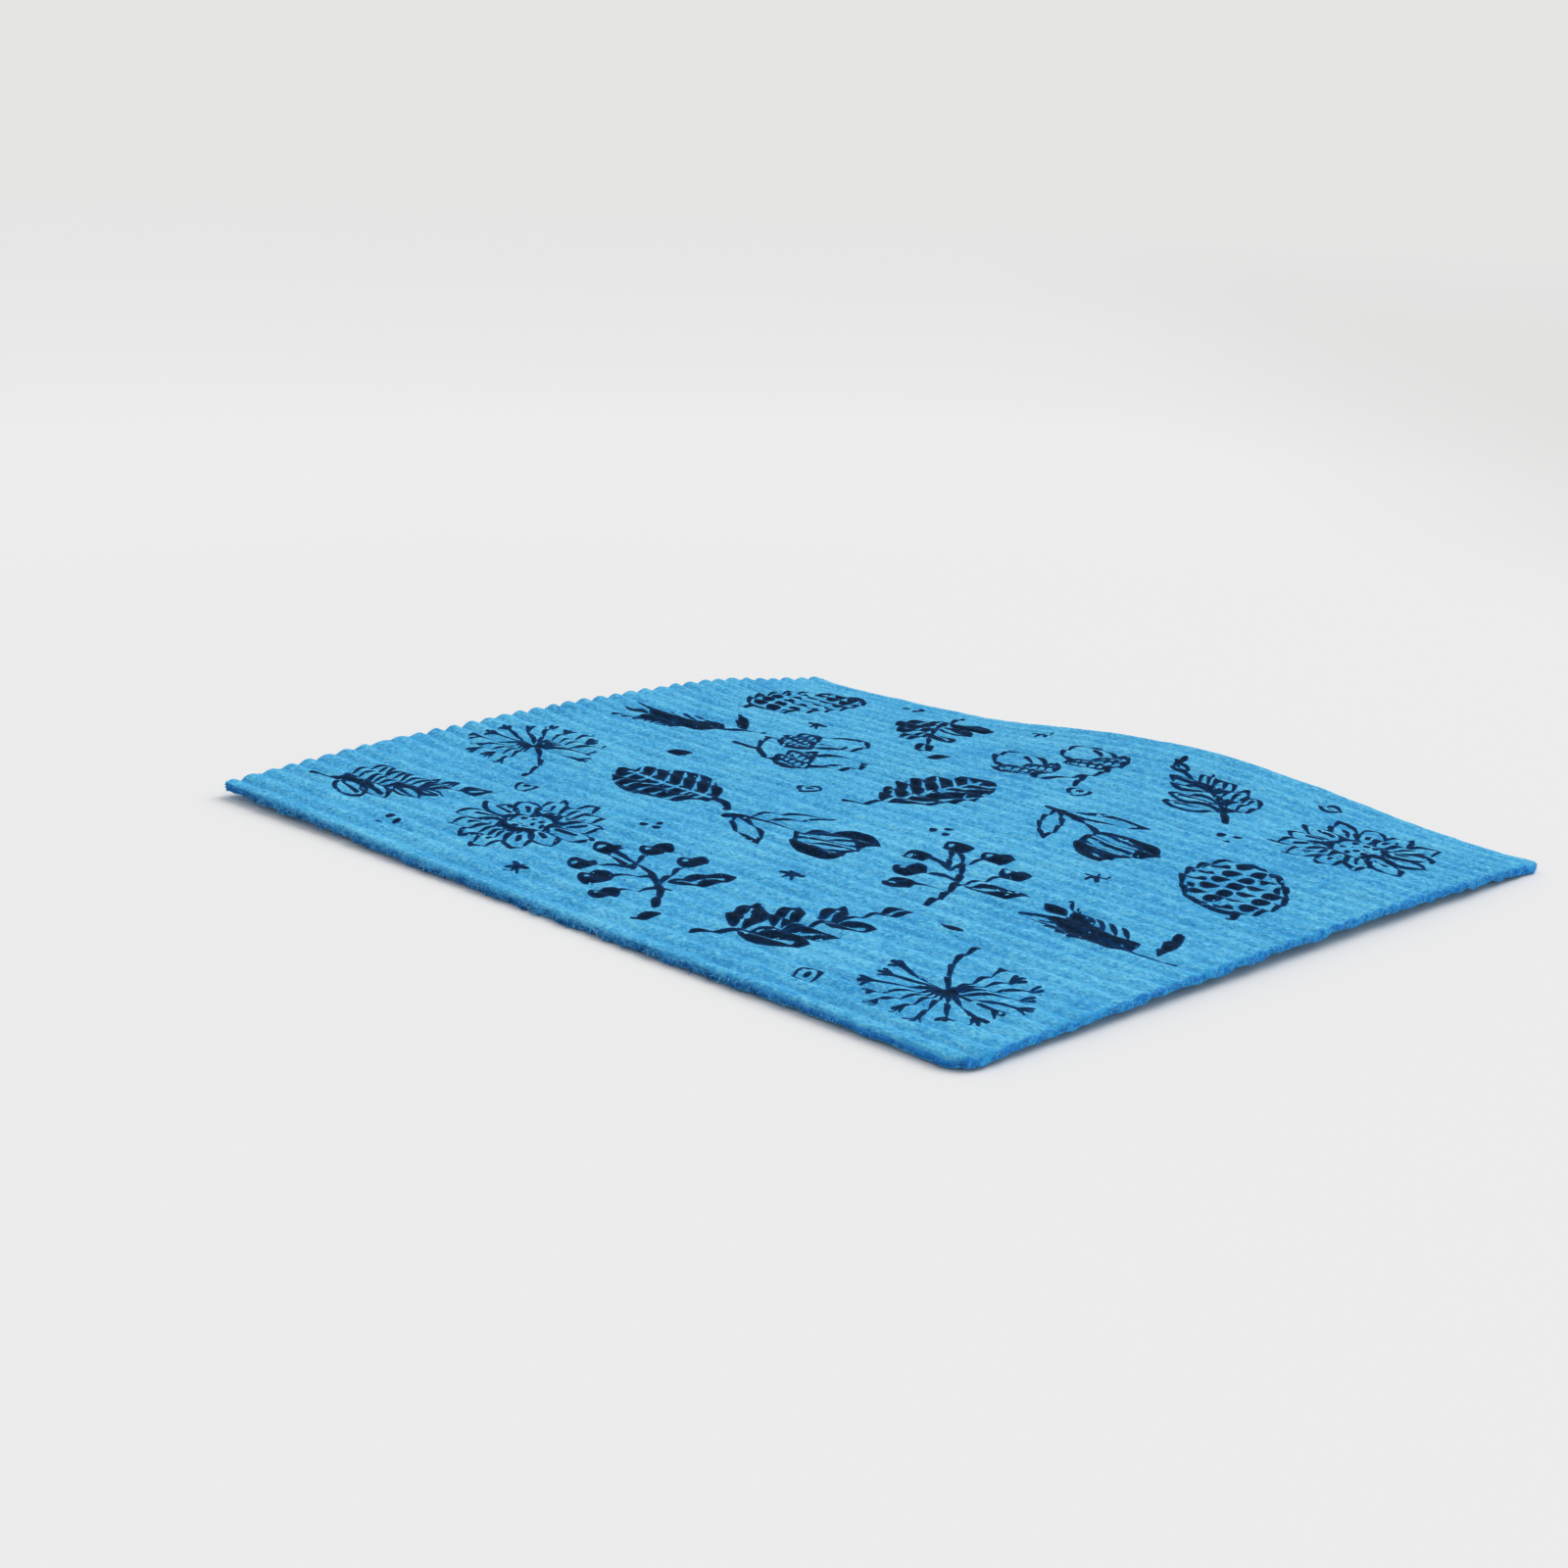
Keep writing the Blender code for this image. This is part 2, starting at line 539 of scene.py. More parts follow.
        i, j = self.edge_loop()
        top, hem = number[i, j], under_number[i[::2] // 2, j[::2] // 2]
        first, last = rim_number[0], rim_number[-1]
        shoulder = [top, first[::2], first[1::2], np.roll(first, -2)[::2], np.roll(top, -1)]
        foot = [last[::4], hem, np.roll(hem, -1), np.roll(last, -4)[::4]]
        foot += [last[3::4], last[2::4], last[1::4]]
        faces = grid_faces(number).tolist() + grid_faces(under_number)[:, ::-1].tolist()
        faces += grid_faces(rim_number, closed=True).tolist()
        faces += np.stack(shoulder, axis=-1).tolist() + np.stack(foot, axis=-1).tolist()

        face = np.stack([self.x, self.y, self.upper], axis=-1).reshape(-1, 3)
        back = np.stack([self.x[::2, ::2], self.y[::2, ::2], coarse], axis=-1).reshape(-1, 3)
        cloth = mesh_piece("cloth", np.vstack([face, back, rim_points.reshape(-1, 3)]), faces)
        self.store_shares(cloth, np.clip(-outward[:, 1], 0, 1), torn)
        return cloth

    def store_shares(self, cloth: bpy.types.Object, near: Array, torn: Array) -> None:
        """Store each point's shares: valley and rim shares that set painted shade, and cut edge.

        The valley share paints shade into the valleys. On the rim the torn share is a painted shade,
        darker lower down and on the side facing -Y, and in part where the edge is torn; the even
        share adds painted shade to the calm ends of that side.

        Args:
            cloth: The mesh object.
            near: How far each place of the rim faces -Y, from 0 to 1.
            torn: How torn it is, from 0 to 1.
        """
        u, v = np.meshgrid(self.along, self.across, indexing="ij")
        from_side = np.minimum(v, self.form.width - v)
        from_edge = np.minimum(np.minimum(u, self.form.length - u), from_side)
        at_torn = (v < self.form.width / 2) & (from_side <= from_edge)
        most = np.where(at_torn, self.cut_share_torn, self.cut_share)
        cut = most * np.exp(-((from_edge / self.cut_fade) ** 2))
        # Painted shade on the rim: the torn share darkens lower down and on the side facing -Y, partly
        # where the edge is torn, and the even share darkens the calm ends of that side
        down = np.linspace(0, 1, self.rim_rows)[:, None] ** 1.6
        stored = {
            "cut": (cut, 1 - torn * (1 - np.clip(0.3 + 1.7 * down, 0, 1))),
            "valley": (self.pressed(u, v), 0 * down * near),
            "torn": (0 * cut, down * (0.7 * near + 0.3 * torn)),
            "even": (0 * cut, (near - torn) + 0 * down),
        }
        for name, (share, at_rim) in stored.items():
            values = np.concatenate([share.ravel(), share[::2, ::2].ravel(), at_rim.ravel()])
            add_point_value(cloth, name, values)


class Motif(Enum):
    """The drawings of the printed design: plain garden plants."""

    LINE_SPRIG = "line_sprig"
    SOLID_SPRIG = "solid_sprig"
    DAISY = "daisy"
    SEED_HEAD = "seed_head"
    BERRY_TWIG = "berry_twig"
    BROAD_LEAF = "broad_leaf"
    GRASS_EAR = "grass_ear"
    TULIP = "tulip"
    ACORN = "acorn"
    PINE_CONE = "pine_cone"


class Mark(Enum):
    """The small marks that fill the gaps between the drawings."""

    THREE_DOTS = "three_dots"
    RING = "ring"
    SMALL_LEAF = "small_leaf"
    STAR = "star"


@dataclass
class PrintingPlate:
    """A flat plate in millimetres that holds the distance to the nearest ink, below 0 inside it."""

    form: SheetForm
    cell: float = 0.34
    margin: float = 5.0
    wobble: float = 0.34
    shake: float = 0.12

    BARE: ClassVar[float] = 50.0

    def __post_init__(self) -> None:
        """Lay out the plate's grid, bent a little so that straight strokes look drawn by hand."""
        self.u = np.arange(self.margin, self.form.length / MM - self.margin, self.cell)
        self.v = np.arange(self.margin, self.form.width / MM - self.margin, self.cell)
        self.grid_u, self.grid_v = np.meshgrid(self.u, self.v, indexing="ij")
        self.drawn_u, self.drawn_v = self.shaken(self.grid_u, 41), self.shaken(self.grid_v, 42)
        self.distance = np.full(self.grid_u.shape, self.BARE)

    def shaken(self, places: Array, seed: int) -> Array:
        """Move places by the slow wobble and the quick shake of a hand.

        Args:
            places: Either their u or their v.
            seed: What the random lattices start from.

        Returns:
            The moved places.
        """
        u, v = self.grid_u * MM, self.grid_v * MM
        slow = Lumps(self.wobble, 6 * MM, 6 * MM, seed)
        quick = Lumps(self.shake, 1.7 * MM, 1.7 * MM, seed + 2)
        return places + slow.at(u, v) + quick.at(u, v)


def bend(start: Spot, middle: Spot, end: Spot, count: int = 14) -> Array:
    """Give points along a curve that leaves start and reaches end, pulled towards middle.

    Args:
        start: Where the curve begins.
        middle: What it is pulled towards, as a quadratic curve's handle.
        end: Where it ends.
        count: How many points it has.

    Returns:
        The points, one row each.
    """
    t = np.linspace(0, 1, count)[:, None]
    handles = np.array([start, middle, end], dtype=float)
    return (1 - t) ** 2 * handles[0] + 2 * t * (1 - t) * handles[1] + t**2 * handles[2]


class Drawing:
    """One motif's window on a plate. Its own y runs up the motif, and its sizes are millimetres."""

    def __init__(
        self, plate: PrintingPlate, centre: Array, turn: float, reach: float, size: float = 1.0
    ) -> None:
        """Open the window.

        Args:
            plate: The plate that is drawn on.
            centre: The motif's middle on the plate.
            turn: How far the motif is turned to the left, in degrees.
            reach: Half the side of the window.
            size: How much larger the motif prints than it is drawn.
        """
        self.plate = plate
        self.size = size
        rows = np.flatnonzero(np.abs(plate.u - centre[0]) < reach)
        columns = np.flatnonzero(np.abs(plate.v - centre[1]) < reach)
        self.window = np.ix_(rows, columns)
        east, north = plate.drawn_u[self.window] - centre[0], plate.drawn_v[self.window] - centre[1]
        angle = math.radians(turn)
        self.x = (east * math.cos(angle) + north * math.sin(angle)) / size
        self.y = (north * math.cos(angle) - east * math.sin(angle)) / size
        self.ink = np.full(self.x.shape, plate.BARE)

    def add(self, distance: Array) -> None:
        """Ink a shape, given as the distance to it."""
        self.ink = np.minimum(self.ink, distance)

    def clear(self, distance: Array) -> None:
        """Leave a shape bare, given as the distance to it."""
        self.ink = np.maximum(self.ink, -distance)

    def line(self, points: Points, width: float, last_width: float | None = None) -> None:
        """Ink a pen stroke."""
        self.add(self.stroke(points, width, last_width))

    def contour(self, distance: Array, width: float) -> None:
        """Ink the outline of a shape, given as the distance to the shape."""
        self.add(np.abs(distance) - width / 2)

    def parted(self, shape: Array, bare: Array) -> None:
        """Ink a shape, given as the distance to it, with another one left bare in it."""
        self.add(np.maximum(shape, -bare))

    def stroke(self, points: Points, width: float, last_width: float | None = None) -> Array:
        """Give the distance to a pen stroke: round dabs joined along its points, thinning evenly.

        Args:
            points: The stroke's points.
            width: How wide it starts.
            last_width: How wide it ends, if that differs.

        Returns:
            The distance to the stroke at each place of the window.
        """
        widths = np.linspace(width, width if last_width is None else last_width, len(points))
        nearest = np.full(self.x.shape, self.plate.BARE)
        for (ax, ay), (bx, by), wide in zip(points[:-1], points[1:], widths[:-1]):
            run_x, run_y = bx - ax, by - ay
            square = max(run_x**2 + run_y**2, 1e-9)
            share = np.clip(((self.x - ax) * run_x + (self.y - ay) * run_y) / square, 0, 1)
            off = np.hypot(self.x - ax - share * run_x, self.y - ay - share * run_y)
            nearest = np.minimum(nearest, off - wide / 2)
        return nearest

    def disc(self, x: float, y: float, radius: float) -> Array:
        """Give the distance to a disc."""
        return np.hypot(self.x - x, self.y - y) - radius

    def oval(self, x: float, y: float, across: float, up: float) -> Array:
        """Give about the distance to an oval.

        Args:
            x: Where its middle is along the drawing's x.
            y: Where its middle is along the drawing's y.
            across: Half its width.
            up: Half its height.

        Returns:
            The distance to the oval at each place of the window.
        """
        east, north = self.x - x, self.y - y
        out = np.hypot(east / across, north / up)
        steep = np.hypot(east / across**2, north / up**2)
        return out * (out - 1) / np.maximum(steep, 1e-6)

    def leaf(self, base: Spot, tip: Spot, width: float) -> Array:
        """Give the distance to a leaf: where two discs through its base and its tip overlap.

        Args:
            base: Where the leaf leaves its stem.
            tip: Its point.
            width: How wide it is in the middle.

        Returns:
            The distance to the leaf at each place of the window.
        """
        (ax, ay), (bx, by) = base, tip
        half = math.hypot(bx - ax, by - ay) / 2
        radius = (half**2 + (width / 2) ** 2) / width
        side_x, side_y = -(by - ay) / (2 * half), (bx - ax) / (2 * half)
        shift = radius - width / 2
        middle_x, middle_y = (ax + bx) / 2, (ay + by) / 2
        left = self.disc(middle_x + side_x * shift, middle_y + side_y * shift, radius)
        right = self.disc(middle_x - side_x * shift, middle_y - side_y * shift, radius)
        return np.maximum(left, right)

    def hatch(self, pitch: float, width: float, angle: float) -> Array:
        """Give the distance to even parallel lines.

        Args:
            pitch: How far apart they are.
            width: How wide each of them is.
            angle: How far they are turned, in degrees.

        Returns:
            The distance to the nearest line at each place of the window.
        """
        turn = math.radians(angle)
        run = self.x * math.cos(turn) + self.y * math.sin(turn)
        return np.abs(np.mod(run, pitch) - pitch / 2) - width / 2

    def print_on(self) -> None:
        """Leave the motif's ink on the plate."""
        under = self.plate.distance[self.window]
        self.plate.distance[self.window] = np.minimum(under, self.ink * self.size)


def ray(angle: float) -> Array:
    """Give the direction at an angle in radians, to the left of x."""
    return np.array([math.cos(angle), math.sin(angle)])


@dataclass
class GardenPrint:
    """The printed design: drawings of plants in staggered rows, each turned its own way.

    The widths of its three pens are fine, medium and bold. No motif's middle is nearer to the cut
    edge than clear_edge, and no small mark's than mark_edge.
    """

    form: SheetForm
    columns: int = 5
    rows: int = 4
    edge: float = 23.5
    clear_edge: float = 24.2
    mark_edge: float = 9.5
    stagger: float = 6.0
    shift: float = 1.6
    mark_shift: float = 1.0
    enlarged: float = 1.13
    window: float = 24.0
    mark_window: float = 6.0
    fine: float = 0.75
    medium: float = 0.95
    bold: float = 1.35

    SOLID: ClassVar[tuple[Motif, ...]] = (
        Motif.SOLID_SPRIG,
        Motif.BERRY_TWIG,
        Motif.BROAD_LEAF,
        Motif.GRASS_EAR,
        Motif.PINE_CONE,
    )

    def draw(self) -> tuple[PrintingPlate, PrintingPlate]:
        """Draw the whole design.

        Returns:
            A plate with the motifs that are mostly solid, and one with those that are mostly line.
        """
        solids, lines = PrintingPlate(self.form), PrintingPlate(self.form)
        rng = np.random.default_rng(57)
        size = np.array([self.form.length, self.form.width]) / MM
        for number, (column, row) in enumerate(np.ndindex(self.columns, self.rows)):
            kind = list(Motif)[(3 * number + 5 * (number // len(Motif))) % len(Motif)]
            centre = self.spot(column, row) + rng.uniform(-self.shift, self.shift, 2)
            centre = np.clip(centre, self.clear_edge, size - self.clear_edge)
            plate = solids if kind in self.SOLID else lines
            turn = rng.uniform(0, 360)
            self.put(kind, Drawing(plate, centre, turn, self.window, self.enlarged))
        for column, row in np.ndindex(self.columns - 1, self.rows + 1):
            kind = list(Mark)[(column * 3 + row) % len(Mark)]
            centre = (self.spot(column, row) + self.spot(column + 1, row - 1)) / 2
            centre = centre + rng.uniform(-self.mark_shift, self.mark_shift, 2)
            centre = np.clip(centre, self.mark_edge, size - self.mark_edge)
            self.put(kind, Drawing(lines, centre, rng.uniform(0, 360), self.mark_window))
        return solids, lines

    def put(self, kind: Motif | Mark, drawing: Drawing) -> None:
        """Draw one kind by the method of its name, and leave its ink on the plate."""
        getattr(self, kind.value)(drawing)
        drawing.print_on()

    def spot(self, column: int, row: int) -> Array:
        """Give the middle of a motif: even rows, each second column raised a little.

        Args:
            column: Its column, counted from the edge at -X.
            row: Its row, counted from the edge at -Y.

        Returns:
            Its place on the plate.
        """
        room = np.array([self.form.length, self.form.width]) / MM - 2 * self.edge
        step = room / np.array([self.columns - 1, self.rows - 1])
        lift = self.stagger * (0.5 if column % 2 else -0.5)
        return self.edge + step * np.array([column, row]) + np.array([0, lift])

    def stem_leaves(self, pen: Drawing, pairs: int, long: float, wide: float) -> list[Leaf]:
        """Draw a bent stem, and give its leaves, in pairs that shorten upwards.

        Args:
            pen: The drawing.
            pairs: How many pairs there are.
            long: The lowest leaf's length.
            wide: The lowest leaf's width.

        Returns:
            The base, tip and width of each leaf.
        """
        stem = bend((-2, -16), (3, -2), (0, 13), 20)
        pen.line(stem, self.bold, self.fine)
        leaves = []
        for pair in range(pairs):
            base = stem[4 + pair * 14 // pairs]
            shrink, lean = 1 - 0.5 * pair / pairs, math.radians(38 + 6 * pair)
            for side in (-1, 1):
                tip = base + shrink * long * np.array([side * math.cos(lean), math.sin(lean)])
                leaves.append((base + np.array([side * 0.6, 0.4]), tip, shrink * wide))
        top = stem[-1]
        leaves.append((top, top + np.array([0.4, 0.55 * long]), 0.6 * wide))
        return leaves

    def line_sprig(self, pen: Drawing) -> None:
        """Draw a stem with open leaves, each with its middle vein.

        Args:
            pen: The drawing that it is inked on.
        """
        for base, tip, width in self.stem_leaves(pen, 4, 11.5, 5.0):
            pen.contour(pen.leaf(base, tip, width), self.fine)
            pen.line([base, 0.8 * tip + 0.2 * base], self.fine)

    def solid_sprig(self, pen: Drawing) -> None:
        """Draw a stem with solid leaves, each with its middle vein left bare.

        Args:
            pen: The drawing that it is inked on.
        """
        for base, tip, width in self.stem_leaves(pen, 3, 13.0, 6.4):
            vein = pen.stroke([base, 0.75 * tip + 0.25 * base], 0.7)
            pen.parted(pen.leaf(base, tip, width), vein)

    def daisy(self, pen: Drawing) -> None:
        """Draw an open flower: long petals round a dotted middle.

        Args:
            pen: The drawing that it is inked on.
        """
        petals, inner, outer, golden = 13, 4.4, 15.0, 2.39996
        for number in range(petals):
            out = ray(2 * math.pi * number / petals)
            long = outer * (1 - 0.07 * (number % 3))
            pen.contour(pen.leaf(inner * out, long * out, 4.6), self.fine)
            pen.line([1.5 * inner * out, 0.72 * long * out], self.fine * 0.9)
        middle = pen.disc(0, 0, inner)
        pen.clear(middle)
        pen.contour(middle, self.medium)
        for number in range(1, 12):
            x, y = 1.02 * math.sqrt(number) * ray(golden * number)
            pen.add(pen.disc(x, y, 0.5))

    def seed_head(self, pen: Drawing) -> None:
        """Draw a blown seed head: rays that end in small tufts, on a bent stalk.

        Args:
            pen: The drawing that it is inked on.
        """
        top, rays = np.array([0, 3.5]), 15
        pen.line(bend((-4, -16), (2, -8), (0, 3.5)), self.medium, self.fine)
        pen.add(pen.disc(0, 3.5, 1.9))
        for number in range(rays):
            angle = math.pi * (-0.28 + 1.56 * number / (rays - 1))
            end = top + (11.2 - 1.4 * (number % 2)) * ray(angle)
            pen.line([top, end], self.fine * 0.85)
            for side in (-0.55, 0, 0.55):
                pen.line([end, end + 2.3 * ray(angle + side)], self.fine * 0.8)

    def berry_twig(self, pen: Drawing) -> None:
        """Draw a forked twig with solid berries, each with a bare glint.

        Args:
            pen: The drawing that it is inked on.
        """
        pen.line(bend((-8, -14), (2, -6), (3, 12), 18), self.bold, self.fine)
        berries = ((-7, 3, 2.9), (-4.5, 10, 2.6), (3.5, 14, 2.7))
        berries += ((9, 8, 3.0), (10, -1, 2.8), (-10.5, -4, 2.5))
        for x, y, radius in berries:
            root = (-0.5 if y > 2 else -2.0, min(y, 9) - 6)
            pen.line(bend(root, (x * 0.4, y - 1.5), (x, y), 8), self.fine)
            pen.add(pen.disc(x, y, radius))
            pen.clear(pen.disc(x - 0.35 * radius, y + 0.35 * radius, 0.24 * radius))
        vein = pen.stroke([(1.5, -7.3), (8, -10.9)], 0.65)
        pen.parted(pen.leaf((0, -6.5), (10, -12), 5.5), vein)

    def broad_leaf(self, pen: Drawing) -> None:
        """Draw one broad solid leaf whose veins are left bare.

        Args:
            pen: The drawing that it is inked on.
        """
        base, tip = (0, -11), (0, 15)
        veins = pen.stroke([base, (0, 12)], 0.95, 0.6)
        for number in range(6):
            height = -8 + 3.6 * number
            for side in (-1, 1):
                rib = bend((0, height), (side * 3.5, height + 1.8), (side * 8.5, height + 6.5), 8)
                veins = np.minimum(veins, pen.stroke(rib, 0.75, 0.5))
        pen.parted(pen.leaf(base, tip, 17), veins)
        pen.line(bend((-3, -17), (0.5, -15), (0, -10.5), 8), self.bold, self.medium)

    def grass_ear(self, pen: Drawing) -> None:
        """Draw an ear of grass: solid grains in pairs up a stalk, with long whiskers.

        Args:
            pen: The drawing that it is inked on.
        """
        stalk = bend((3, -17), (-3, -4), (0, 8), 20)
        pen.line(stalk, self.medium, self.fine)
        for x, y in stalk[6:18:2]:
            for side in (-1, 1):
                grain = (x + side * 2.9, y + 4.6)
                pen.add(pen.leaf((x + side * 0.3, y), grain, 2.7))
                pen.line([grain, (grain[0] + side * 2.2, grain[1] + 4.4)], self.fine * 0.8)
        x, y = stalk[-1]
        pen.add(pen.leaf((x, y), (x, y + 6), 2.9))
        pen.add(pen.leaf((2.2, -13), (12, -6), 2.6))

    def tulip(self, pen: Drawing) -> None:
        """Draw a cup flower of three petals, one of them hatched, over two long leaves.

        Args:
            pen: The drawing that it is inked on.
        """
        pen.line(bend((2, -16), (-2, -8), (0, 1)), self.bold, self.medium)
        for side in (-1, 1):
            fold = bend((-0.4, 3), (side * 4.14, 7), (side * 4.6, 12.6), 8)
            pen.parted(pen.leaf((0, 0.5), (side * 5.5, 15), 8.5), pen.stroke(fold, 0.6))
        middle = pen.leaf((0, 0), (0, 14), 9)
        pen.clear(middle)
        pen.contour(middle, self.medium)
        pen.add(np.maximum(middle, pen.hatch(1.7, 0.62, 20)))
        for tip in ((-10, -1), (9.5, 0)):
            pen.contour(pen.leaf((1, -14), tip, 3.8), self.fine)

    def acorn(self, pen: Drawing) -> None:
        """Draw two acorns on a stalk: smooth nuts under caps of crossed lines.

        Args:
            pen: The drawing that it is inked on.
        """
        pen.line(bend((-7, 9), (0, 14), (8, 11)), self.medium)
        pen.line(bend((-1, 12), (0, 14), (2, 17), 6), self.bold, self.medium)
        for x, y in ((-7, 2), (7.5, 3.5)):
            pen.contour(pen.oval(x, y - 4.6, 4.6, 7.4), self.medium)
            pen.line(bend((x - 2, y - 7.5), (x - 2.6, y - 5), (x - 2, y - 2.8), 6), self.fine)
            cap = np.maximum(pen.oval(x, y, 6.2, 5.4), (y - 1.4) - pen.y)
            pen.clear(cap)
            crossed = np.minimum(pen.hatch(1.75, 0.55, 45), pen.hatch(1.75, 0.55, -45))
            pen.add(np.maximum(cap, crossed))
            pen.contour(cap, self.medium)
            pen.line([(x, y + 5), (x + 0.6, y + 8)], self.bold, self.medium)

    def pine_cone(self, pen: Drawing) -> None:
        """Draw a cone: solid scales in offset rows within an oval.

        Args:
            pen: The drawing that it is inked on.
        """
        body = pen.oval(0, 0, 8.6, 14)
        row_step, column_step = 3.6, 3.9
        row = np.round(pen.y / row_step)
        offset = np.where(np.mod(row, 2) == 0, 0, column_step / 2)
        column = np.round((pen.x - offset) / column_step)
        east, north = pen.x - column * column_step - offset, pen.y - row * row_step
        scale = np.hypot(east / 1.62, north / 1.28) - 1
        pen.add(np.maximum(body + 0.9, 1.3 * scale))
        pen.contour(body, self.medium)
        pen.line([(0, 13.5), (1, 17)], self.bold, self.medium)

    def three_dots(self, pen: Drawing) -> None:
        """Draw three dots in a triangle.

        Args:
            pen: The drawing that it is inked on.
        """
        for angle in (90, 210, 330):
            x, y = 1.9 * ray(math.radians(angle))
            pen.add(pen.disc(x, y, 0.85))

    def ring(self, pen: Drawing) -> None:
        """Draw a small ring with a dot in it."""
        pen.contour(pen.disc(0, 0, 2.3), self.fine)
        pen.add(pen.disc(0, 0, 0.7))

    def small_leaf(self, pen: Drawing) -> None:
        """Draw one small solid leaf."""
        pen.add(pen.leaf((0, -3), (0.6, 3.4), 2.7))

    def star(self, pen: Drawing) -> None:
        """Draw three short strokes that cross.

        Args:
            pen: The drawing that it is inked on.
        """
        for angle in (0, 60, 120):
            arm = 2.4 * ray(math.radians(angle))
            pen.line([-arm, arm], self.fine)


@dataclass
class InkFilm:
    """The ink of one plate as a thin film on the ribbed face, cut out along the plate's outline."""

    name: str
    sheet: ClothSheet
    plate: PrintingPlate
    proud: float = 0.05 * MM
    depth: float = 0.12 * MM
    crest_gain: float = 0.2
    ragged: Lumps = Lumps(0.1, 1.1 * MM, 0.8 * MM, 61)
    specks: Lumps = Lumps(1.0, 1.0 * MM, 0.8 * MM, 62)
    pinhole: float = 0.8
    pinhole_size: float = 14.0

    def uneven_distance(self) -> Array:
        """Work out the ink as it prints: fuller on the crests, thinner in the valleys.

        Returns:
            The distance to the nearest ink at each place of the plate.
        """
        u, v = self.plate.grid_u * MM, self.plate.grid_v * MM
        crest = 1 - 2 * self.sheet.pressed(u, v)
        holes = np.clip(self.specks.at(u, v) - self.pinhole, 0, 1) * self.pinhole_size
        return self.plate.distance - self.crest_gain * crest - self.ragged.at(u, v) + holes

    def build(self) -> bpy.types.Object:
        """Cut the film out of the plate's grid and lay it on the cloth.

        Each grid cell keeps the polygon that its inked corners and the crossings on its sides
        make, walked round in turn, so the outline is smooth between grid points.

        Returns:
            The film, given its thickness by a Solidify modifier, with its ink depth stored on it.
        """
        distance, plate = self.uneven_distance(), self.plate
        inked = distance < 0
        places, depths = [], []

        def keep(found: Array, u: Array, v: Array, deep: Array) -> Array:
            """Store the points that are found, and number them.

            Args:
                found: Where there is one.
                u: Each one's place along the ribs.
                v: Its place across the ribs.
                deep: How far it is inside the ink.

            Returns:
                The number of each one, or -1 where there is none.
            """
            number = np.full(found.shape, -1)
            number[found] = sum(map(len, places)) + np.arange(found.sum())
            places.append(np.stack([u[found], v[found]], axis=-1))
            depths.append(deep[found])
            return number

        corner = keep(inked, plate.grid_u, plate.grid_v, -distance)
        crossed = inked[:-1] != inked[1:]
        share = distance[:-1] / np.where(crossed, distance[:-1] - distance[1:], 1)
        moved = plate.grid_u[:-1] + share * plate.cell
        side_u = keep(crossed, moved, plate.grid_v[:-1], 0 * share)
        crossed = inked[:, :-1] != inked[:, 1:]
        share = distance[:, :-1] / np.where(crossed, distance[:, :-1] - distance[:, 1:], 1)
        moved = plate.grid_v[:, :-1] + share * plate.cell
        side_v = keep(crossed, plate.grid_u[:, :-1], moved, 0 * share)

        corners = (corner[:-1, :-1], corner[1:, :-1], corner[1:, 1:], corner[:-1, 1:])
        sides = (side_u[:, :-1], side_v[1:], side_u[:, 1:], side_v[:-1])
        case = sum((points >= 0) * 2**place for place, points in enumerate(corners))
        faces: list[list[int]] = []
        for kind in range(1, 16):
            cells = case == kind
            walk = []
            for place in range(4):
                here, following = kind >> place & 1, kind >> (place + 1) % 4 & 1
                if here:
                    walk.append(corners[place][cells])
                if here != following:
                    walk.append(sides[place][cells])
            faces.extend(np.stack(walk, axis=-1).tolist())

        flat = np.concatenate(places) * MM
        height = self.sheet.face_height(flat[:, 0], flat[:, 1]) + self.proud
        half = np.array([self.sheet.form.length, self.sheet.form.width]) / 2
        film = mesh_piece(self.name, np.column_stack([flat - half, height]), faces)
        add_point_value(film, "ink", np.clip(np.concatenate(depths), 0, 1))
        wall = film.modifiers.new("Ink", "SOLIDIFY")
        wall.thickness = self.depth
        wall.offset = -1
        return film


def fibre_tubes(name: str, lines: Array, radius: Array, shade: Array) -> bpy.types.Object:
    """Make many thin three-sided tubes at once, each along a line of its own.

    A tube's corners lie at thirds of a turn round its line, square to the line's heading.

    Args:
        name: The piece's name.
        lines: Points by fibre, by step and by x, y and z.
        radius: Each line's radius, by fibre and step.
        shade: One number for each fibre, stored for its material.

    Returns:
        All the fibres as one piece.
    """
    ahead = np.gradient(lines, axis=1)
    ahead /= np.linalg.norm(ahead, axis=2, keepdims=True)
    side = np.cross(ahead, (0.3, 0.2, 0.93))
    side /= np.linalg.norm(side, axis=2, keepdims=True)
    other = np.cross(ahead, side)
    turn = 2 * np.pi * np.arange(3)[:, None] / 3
    ring = side[:, :, None] * np.cos(turn) + other[:, :, None] * np.sin(turn)
    points = lines[:, :, None] + ring * radius[:, :, None, None]

    number = np.arange(points[..., 0].size).reshape(points.shape[:3])
    wall = grid_faces(number, closed=True)[:, [0, 3, 2, 1]]
    ends = np.concatenate([number[:, 0, ::-1], number[:, -1]])
    piece = mesh_piece(name, points.reshape(-1, 3), wall.tolist() + ends.tolist())
    add_point_value(piece, "shade", np.repeat(shade, number[0].size))
    return piece


